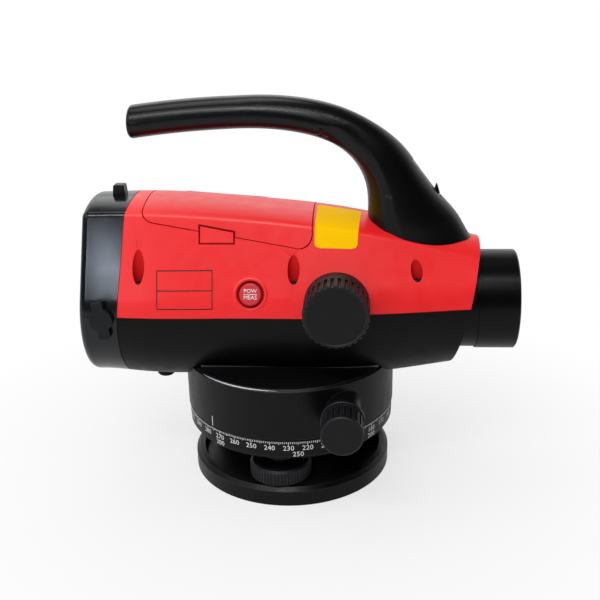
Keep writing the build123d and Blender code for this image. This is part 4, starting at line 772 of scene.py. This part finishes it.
# %% Handle's drawn-out end
END_X, RIM_R = -83.3 * MM, 2.2 * MM
FALL, BEND, WIDEN = 0.0255, 0.95, 0.5
TUBE_STEPS, RIM_STEPS = 14, 6
loop = [edge for edge in grip.edges if edge.is_boundary]
heights = [vert.co.z for edge in loop for vert in edge.verts]
HALF_H = (max(heights) - min(heights)) / 2
CUT_Z = min(heights) + HALF_H
stations = [(between((CUT_X, END_X + RIM_R), t), 0.0) for t in steps(TUBE_STEPS)[1:]]
for t in steps(RIM_STEPS)[1:]:
    turn = pi / 2 * t
    stations.append((END_X + RIM_R * (1 - sin(turn)), RIM_R * (1 - cos(turn))))
place, size = Vector((CUT_X, 0, CUT_Z)), HALF_H
for x, inset in stations:
    run = CUT_X - x
    after = Vector((x, 0, CUT_Z - FALL * run - BEND * run ** 2))
    half = HALF_H * (1 + WIDEN * run) - inset
    made = bmesh.ops.extrude_edge_only(grip, edges=loop)["geom"]
    corners = [item for item in made if isinstance(item, bmesh.types.BMVert)]
    loop = [item for item in made if isinstance(item, bmesh.types.BMEdge) and item.is_boundary]
    bmesh.ops.translate(grip, verts=corners, vec=after - place)
    bmesh.ops.scale(grip, verts=corners, vec=(1, half / size, half / size), space=Matrix.Translation(-after))
    place, size = after, half
bmesh.ops.holes_fill(grip, edges=loop)
bmesh.ops.recalc_face_normals(grip, faces=grip.faces)
for edge in grip.edges:
    edge.smooth = edge.calc_face_angle(0.0) < SHARP_ANGLE
grip_piece = piece_from(grip, "handle_grip", handle_abs, "alidade", smooth=True)
grip_piece.modifiers.new("flat_faces", "WEIGHTED_NORMAL").keep_sharp = True
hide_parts("handle")
print("handle ends at", round(END_X / MM, 1), "mm, faces:", len(grip_piece.data.polygons))

# %% [markdown]
# ## Ridges and marks on the battery
# A flat battery pack lies behind the door. Moulded ridges give a finger hold to lift it out: one round rib,
# repeated in a row by Geometry Nodes. Its voltage and poles are printed beside them.

# %% Battery ridges and marks
battery_low, battery_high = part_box("battery")
BATTERY_Y = (battery_low.y + battery_high.y) / 2
FIRST_RIDGE = (battery_low.x + 6 * MM, BATTERY_Y, battery_high.z - 0.1 * MM)
MARK_H = 4.0 * MM


def ridge_tree():
    """A tree that lays a row of round ribs across the battery."""
    tree, given = new_tree("battery_ridges", Count=7, Spacing=1.7 * MM, Length=15.0 * MM, Radius=0.55 * MM)
    stride = add(tree, "ShaderNodeCombineXYZ", {0: given["Spacing"]}).outputs[0]
    row = add(tree, "GeometryNodeMeshLine", {"Count": given["Count"], "Offset": stride,
              "Start Location": FIRST_RIDGE}).outputs[0]
    rib = add(tree, "GeometryNodeMeshCylinder", {"Vertices": 16, "Radius": given["Radius"],
              "Depth": given["Length"]}).outputs["Mesh"]
    ribs = add(tree, "GeometryNodeInstanceOnPoints", {"Points": row, "Instance": rib,
               "Rotation": (pi / 2, 0, 0)}).outputs[0]
    end_tree(tree, ribs, battery_case)
    return tree


ridges = made_by(ridge_tree(), "battery_ridges", "alidade")
marks = bmesh.new()
for words, x, y in (("7.4 V", -26.0, 0.0), ("+", -2.0, 5.0), ("-", -2.0, -5.0)):
    write(marks, words, MARK_H,
          lambda co: (x * MM + co.x, BATTERY_Y + y * MM + co.y, battery_high.z + PRINT_LIFT))
piece_from(marks, "battery_marks", white_print, "alidade")
print("battery ridges:", len(ridges.data.polygons), "faces")

# %% [markdown]
# ## The circular level
# A bubble floats in yellow-green fluid on the far side of the drum. A black ring is printed on the glass,
# and the instrument stands upright when the bubble is inside it. The bubble is a flat dome under the ring.

# %% Level ring and bubble
vial_low, vial_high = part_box("level_vial")
VIAL = Vector(((vial_low.x + vial_high.x) / 2, (vial_low.y + vial_high.y) / 2, vial_high.z))
RING_RADII, RING_LIFT = (2.9 * MM, 3.25 * MM), 0.05 * MM
BUBBLE_R, BUBBLE_H = 2.3 * MM, 0.3 * MM
BUBBLE_TURNS = [radians(turn) for turn in (75, 60, 45, 30, 15, 0)]
ring_shape = bmesh.new()
skin(ring_shape, [[VIAL + way * r + Z * RING_LIFT for r in RING_RADII] for way in around(LEVEL_SIDES)],
     closed=True)
piece_from(ring_shape, "level_ring", black_print, "alidade")

bubble = bmesh.new()
dome = skin(bubble, [[VIAL + way * BUBBLE_R * cos(turn) + Z * BUBBLE_H * sin(turn) for turn in BUBBLE_TURNS]
                     for way in around(LEVEL_SIDES)], closed=True)
crown = bubble.verts.new(VIAL + Z * BUBBLE_H)
for near, far in zip(dome, dome[1:] + dome[:1]):
    bubble.faces.new((near[0], far[0], crown))
for face in bubble.faces:
    face.smooth = True
bubble.faces.new([row[-1] for row in reversed(dome)])
bmesh.ops.recalc_face_normals(bubble, faces=bubble.faces)
piece_from(bubble, "level_bubble", air_bubble, "alidade")
print("level at", [round(c / MM, 1) for c in VIAL])

# %% [markdown]
# ## Painted highlights on two edges
# Two pale lines are painted highlights: light caught on the drum's upper rim and on the housing's lower
# edge above it. Each is a thin ribbon laid on its edge by rays, widest where the highlight is brightest and
# running out to almost nothing.

# %% Painted edge highlights
HIGHLIGHT_LIFT = 0.03 * MM
RIM_TURN, RIM_HALF = (radians(-140), radians(-92)), (0.02 * MM, 0.36 * MM)
SKIRT_X, SKIRT_HALF = (-47 * MM, 51 * MM), (0.03 * MM, 0.6 * MM)
SKIRT_THIN, SKIRT_POWER = 1.05, 1.6
RIM_RAYS, SKIRT_RAYS = 48, 60
SKIRT_Z = drum_high.z + 0.05 * MM
AWAY = 10 * MM


def rubbed_line(node, rays, name):
    """A ribbon on a node from rays, each with its start, its way and its half width across."""
    tree = BVHTree.FromObject(nodes[node], depsgraph)
    shape = bmesh.new()
    skin(shape, [[meet(tree, start + across * side, way, HIGHLIGHT_LIFT) for side in (-1, 1)]
                 for start, way, across in rays])
    piece_from(shape, name, painted_edge_highlight, "alidade", smooth=True)
    print(name, len(rays), "rays")


rim_rays = []
for t in steps(RIM_RAYS):
    turn = between(RIM_TURN, t)
    outward = Vector((cos(turn), sin(turn), 0))
    start = outward * (DRUM_R + AWAY) + Z * (drum_high.z + AWAY)
    half = RIM_HALF[0] + RIM_HALF[1] * sin(pi * t)
    rim_rays.append((start, (-outward - Z).normalized(), (outward - Z).normalized() * half))
rubbed_line("drum", rim_rays, "drum_rubbed_rim")

skirt_rays = []
for t in steps(SKIRT_RAYS):
    half = SKIRT_HALF[0] + SKIRT_HALF[1] * abs(2 * t - SKIRT_THIN) ** SKIRT_POWER
    start = Vector((between(SKIRT_X, t), -FAR, SKIRT_Z + half))
    skirt_rays.append((start, Y, -Z * half))
rubbed_line("lower_housing", skirt_rays, "housing_rubbed_edge")

# %% [markdown]
# ## Marks on the rear panel
# The user reads the display and presses the keys from behind. Words and figures are made flat, turned into
# a mesh and carried by rays on the key or the glass that they are printed on, so that they follow its rake. The
# dioptre ring of the eyepiece gets its scale in the same way, and the scale turns with the ring.

# %% Key words and a reading
WORD_LIFT = 0.05 * MM
KEY_H, READING_H, DIOPTRE_H = 1.5 * MM, 2.4 * MM, 1.9 * MM
AXIS_MM, DIOPTRE_R = AXIS_Z / MM, 12.6
KEYS = [("MENU", 25, 12), ("DIST", 26, 0), ("ESC", 25, -12), ("SET", -25, 12), ("REC", -26, 0), ("ENT", -25, -12),
        ("1", 13, -26), ("2", 0, -26), ("3", -13, -26)]
READING = [("HEIGHT", 6.0, 138.2), ("1.4327 m", 0.0, 133.4), ("DIST  12.48 m", 0.0, 126.4)]
DIOPTRES = [(word, radians(turn)) for word, turn in (("+", 34), ("I", 17), ("0", 0), ("I", -17), ("-", -34))]


def rear_words(target, lines, height, name, material, body="alidade"):
    """Words on the rear face of a node, from lines with the text, Y and Z in millimetres."""
    tree = BVHTree.FromObject(nodes[target], depsgraph)
    shape = bmesh.new()
    for words, y, z in lines:
        write(shape, words, height,
              lambda co: meet(tree, Vector((-FAR, y * MM - co.x, z * MM + co.y)), X, WORD_LIFT))
    piece_from(shape, name, material, body)
    print(name, [words for words, y, z in lines])


rear_words("keypad", [(word, y, AXIS_MM + up) for word, y, up in KEYS], KEY_H, "key_words", key_print)
rear_words("display", READING, READING_H, "display_reading", segment_ink)
rear_words("eyepiece_ring",
           [(word, DIOPTRE_R * sin(turn), AXIS_MM + DIOPTRE_R * cos(turn)) for word, turn in DIOPTRES],
           DIOPTRE_H, "dioptre_marks", key_print, "eyepiece")

# %% [markdown]
# ## Words on the button
# The round button switches the power on and starts a measurement, which two short words say in white.
# They lie on the button's flat top, so they move with it when it is pressed.

# %% Button words
TILT = radians(22.9)
out = Vector((0, -cos(TILT), sin(TILT)))
above = out.cross(X)
BUTTON_X, BUTTON_OUT, TOP_OUT = -16.9 * MM, 42.5 * MM, 0.44 * MM
BUTTON_WORD_H, WORD_RISE = 2.1 * MM, 1.75 * MM
BAR_X, BAR_Y = 3.6 * MM, 0.14 * MM
button_plane = Vector((BUTTON_X, 0, AXIS_Z)) + out * BUTTON_OUT
button_top = button_plane + out * TOP_OUT
words_shape = bmesh.new()
for words, rise in (("POW", WORD_RISE), ("MEAS", -WORD_RISE)):
    write(words_shape, words, BUTTON_WORD_H, lambda co: button_top + X * co.x + above * (co.y + rise))
skin(words_shape, [[button_top + X * BAR_X * a - above * BAR_Y * b for b in (-1, 1)] for a in (-1, 1)])
piece_from(words_shape, "button_words", white_print, "button")
print("button top at", [round(v / MM, 1) for v in button_top])

# %% [markdown]
# ## Collar round the button
# A low round collar of the cover's own plastic keeps the button from being pressed by accident, and a dark
# red ring inside it is painted shade in the gap. Both are rings in the button's own frame; the collar's
# height is taken from rays on the cover, because the wall is round.

# %% Button collar and gap
PROFILE = ((7.30, -0.50), (7.45, 0.10), (7.75, 0.42), (8.15, 0.50), (8.65, 0.36), (9.2, 0.06), (9.6, -0.12))
LEAST_PROBE, PROBE_OUT = 7.7, 20 * MM
GAP_RADII, GAP_DEEP = (6.3, 7.28), 1.15 * MM


def round_button(radius, way):
    """A point round the button, in its plane, at a radius in millimetres."""
    return button_plane + (X * way.x + above * way.y) * radius * MM


rows = []
for way in around(BUTTON_SIDES):
    row = []
    for radius, rise in PROFILE:
        probe = round_button(max(radius, LEAST_PROBE), way)
        wall = (meet(cover_tree, probe + out * PROBE_OUT, -out, 0.0) - probe).dot(out)
        row.append(round_button(radius, way) + out * (wall + rise * MM))
    rows.append(row)
collar = bmesh.new()
skin(collar, rows, closed=True)
collar_piece = piece_from(collar, "button_collar", red_abs, "alidade", smooth=True)

# The dark red ring is painted shade in the gap round the button.
gap = bmesh.new()
skin(gap, [[round_button(r, way) - out * GAP_DEEP for r in GAP_RADII] for way in around(BUTTON_SIDES)],
     closed=True)
piece_from(gap, "button_gap", gap_shade_red, "alidade")
print("collar faces:", len(collar_piece.data.polygons))

# %% [markdown]
# ## Camera
# The photograph was taken from close by, slightly above and from the instrument's right side, which a
# lens of about 55 mm on a full frame matches.

# %% Camera
YAW, PITCH, ROLL = radians(4.0), radians(20.74), radians(1.3)
EYE = Vector((41.1, -493.6, 287.5)) * MM
SENSOR_MM, FOCUS_PX, PICTURE_PX = 36.0, 924.7, 600
forward = Vector((-sin(YAW) * cos(PITCH), cos(YAW) * cos(PITCH), -sin(PITCH)))
right = forward.cross(Z).normalized()
upward = right.cross(forward)
roll = Matrix.Rotation(ROLL, 3, forward)
right, upward = roll @ right, roll @ upward
camera_data = bpy.data.cameras.new("camera")
camera_data.sensor_width = SENSOR_MM
camera_data.lens = SENSOR_MM * FOCUS_PX / PICTURE_PX
camera_data.clip_start = 0.01
camera = bpy.data.objects.new("camera", camera_data)
camera.matrix_world = Matrix([[right[i], upward[i], -forward[i], EYE[i]] for i in range(3)] + [[0, 0, 0, 1]])
shown.link(camera)
bpy.context.scene.camera = camera
print("camera lens", round(camera_data.lens, 1), "mm")

# %% [markdown]
# ## Light
# Soft lamps in front above and on the left shape the cover, and two overhead and behind give the roof its shine.
# A narrow strip draws the bright lines along chamfered edges, and a small cool window on the left shows in the
# rear cover and the handle's end.

# %% Lamps
MIDDLE = (0.0, 0.0, 0.11)


def lamp(name, place, aim, size, power):
    """A rectangular lamp at a place, turned to its aim, with its size in metres and its power in watts."""
    light = bpy.data.lights.new(name, "AREA")
    light.shape = "RECTANGLE"
    light.size, light.size_y = size
    light.energy = power
    lamp_object = bpy.data.objects.new(name, light)
    lamp_object.location = place
    lamp_object.rotation_euler = (Vector(aim) - Vector(place)).to_track_quat("-Z", "Y").to_euler()
    shown.link(lamp_object)
    return light


lamp("front_softbox", (-0.22, -0.72, 1.05), MIDDLE, (0.75, 0.2), 6.6)
lamp("left_softbox", (-1.0, -0.45, 0.9), MIDDLE, (0.8, 0.8), 3.2)
lamp("overhead_softbox", (-0.2, 0.25, 1.2), MIDDLE, (0.7, 0.4), 2.6)
lamp("rear_softbox", (-0.22, 1.0, 0.82), MIDDLE, (0.9, 0.5), 1.5)
lamp("edge_strip", (0.18, -0.53, 1.12), MIDDLE, (0.6, 0.05), 1.7)
window = lamp("left_window", (-0.59, -1.06, 0.505), (-0.1, -0.03, 0.13), (0.13, 0.06), 1.0)
window.color = linear("#E2EDFF")[:3]
print("lamps:", [light.name for light in bpy.data.lights])

# %% [markdown]
# ## World
# The paper behind is white to the camera and shows in reflections, while the room in front stays dark, so
# black surfaces stay black. Other rays meet a soft light that falls off from left to right. A Light Path node
# tells these rays apart, which a world of one colour could not.

# %% World
AMBIENT_LEFT, AMBIENT_RIGHT, ROOM, PAPER = 0.50, 0.12, 0.03, 1.0
AMBIENT_SPAN, PAPER_EDGE, TOP_EDGE, TOP_SHARE = (-0.8, 0.8), (-0.1, 0.5), (0.5, 0.75), 0.15
world = bpy.data.worlds.new("studio")
bpy.context.scene.world = world
tree = emptied(world)
path = add(tree, "ShaderNodeLightPath").outputs
way = add(tree, "ShaderNodeTexCoord").outputs["Generated"]
sides = add(tree, "ShaderNodeSeparateXYZ", {0: way}).outputs
ambient, sheet, top_edge = (
    add(tree, "ShaderNodeMapRange", {"Value": sides[axis], "From Min": low, "From Max": high, "To Min": start,
        "To Max": end}).outputs["Result"]
    for axis, (low, high), start, end in (("X", AMBIENT_SPAN, AMBIENT_LEFT, AMBIENT_RIGHT),
                                          ("Y", PAPER_EDGE, ROOM, PAPER), ("Z", TOP_EDGE, 1.0, TOP_SHARE)))
backdrop = add(tree, "ShaderNodeMath", {0: sheet, 1: top_edge}, operation="MULTIPLY").outputs[0]
mirrored = add(tree, "ShaderNodeMix", {0: path["Is Glossy Ray"], 2: ambient, 3: backdrop}).outputs[0]
seen = add(tree, "ShaderNodeMath", {0: path["Is Camera Ray"], 1: path["Is Transmission Ray"]},
           operation="MAXIMUM").outputs[0]
strength = add(tree, "ShaderNodeMix", {0: seen, 2: mirrored, 3: PAPER}).outputs[0]
sky = add(tree, "ShaderNodeBackground", {"Color": (1, 1, 1, 1), "Strength": strength})
add(tree, "ShaderNodeOutputWorld", {"Surface": sky.outputs[0]})
bpy.context.scene.view_settings.view_transform = "Standard"
print("world:", len(tree.nodes), "nodes")

# %% [markdown]
# ## Floor
# The instrument stands on the same paper. Lamps alone would leave it grey, so it glows white to the camera,
# less so near the object, where its paper keeps the shadow, and a little in reflections.

# %% Floor
SHADOW_REACH, SHADOW_SHARE, MIRROR_SHARE, FLOOR_HALF = (0.06, 0.26), 0.7, 0.35, 6
floor_material = bpy.data.materials.new("white_paper_floor")
tree = emptied(floor_material)
path = add(tree, "ShaderNodeLightPath").outputs
spot = add(tree, "ShaderNodeTexCoord").outputs["Object"]
reach = add(tree, "ShaderNodeVectorMath", {0: spot}, operation="LENGTH").outputs["Value"]
faded = add(tree, "ShaderNodeMapRange", {"Value": reach, "From Min": SHADOW_REACH[0], "From Max": SHADOW_REACH[1],
            "To Min": SHADOW_SHARE, "To Max": 1.0}).outputs["Result"]
paper = add(tree, "ShaderNodeBsdfDiffuse", {"Color": linear("#D8D8D8")}).outputs[0]
glow = add(tree, "ShaderNodeEmission", {"Color": (1, 1, 1, 1), "Strength": 1.0}).outputs[0]
seen = add(tree, "ShaderNodeMath", {0: path["Is Camera Ray"], 1: path["Is Transmission Ray"]},
           operation="MAXIMUM").outputs[0]
mirrored = add(tree, "ShaderNodeMath", {0: path["Is Glossy Ray"], 1: MIRROR_SHARE},
               operation="MULTIPLY").outputs[0]
share = add(tree, "ShaderNodeMix", {0: seen, 2: mirrored, 3: faded}).outputs[0]
mixed = add(tree, "ShaderNodeMixShader", {0: share, 1: paper, 2: glow}).outputs[0]
add(tree, "ShaderNodeOutputMaterial", {"Surface": mixed})
floor_mesh = bpy.data.meshes.new("floor")
corners = [(x * FLOOR_HALF, y * FLOOR_HALF, 0) for x, y in ((-1, -1), (1, -1), (1, 1), (-1, 1))]
floor_mesh.from_pydata(corners, [], [(0, 1, 2, 3)])
floor_mesh.materials.append(floor_material)
floor = bpy.data.objects.new("floor", floor_mesh)
shown.link(floor)
print("floor", 2 * FLOOR_HALF, "m wide")
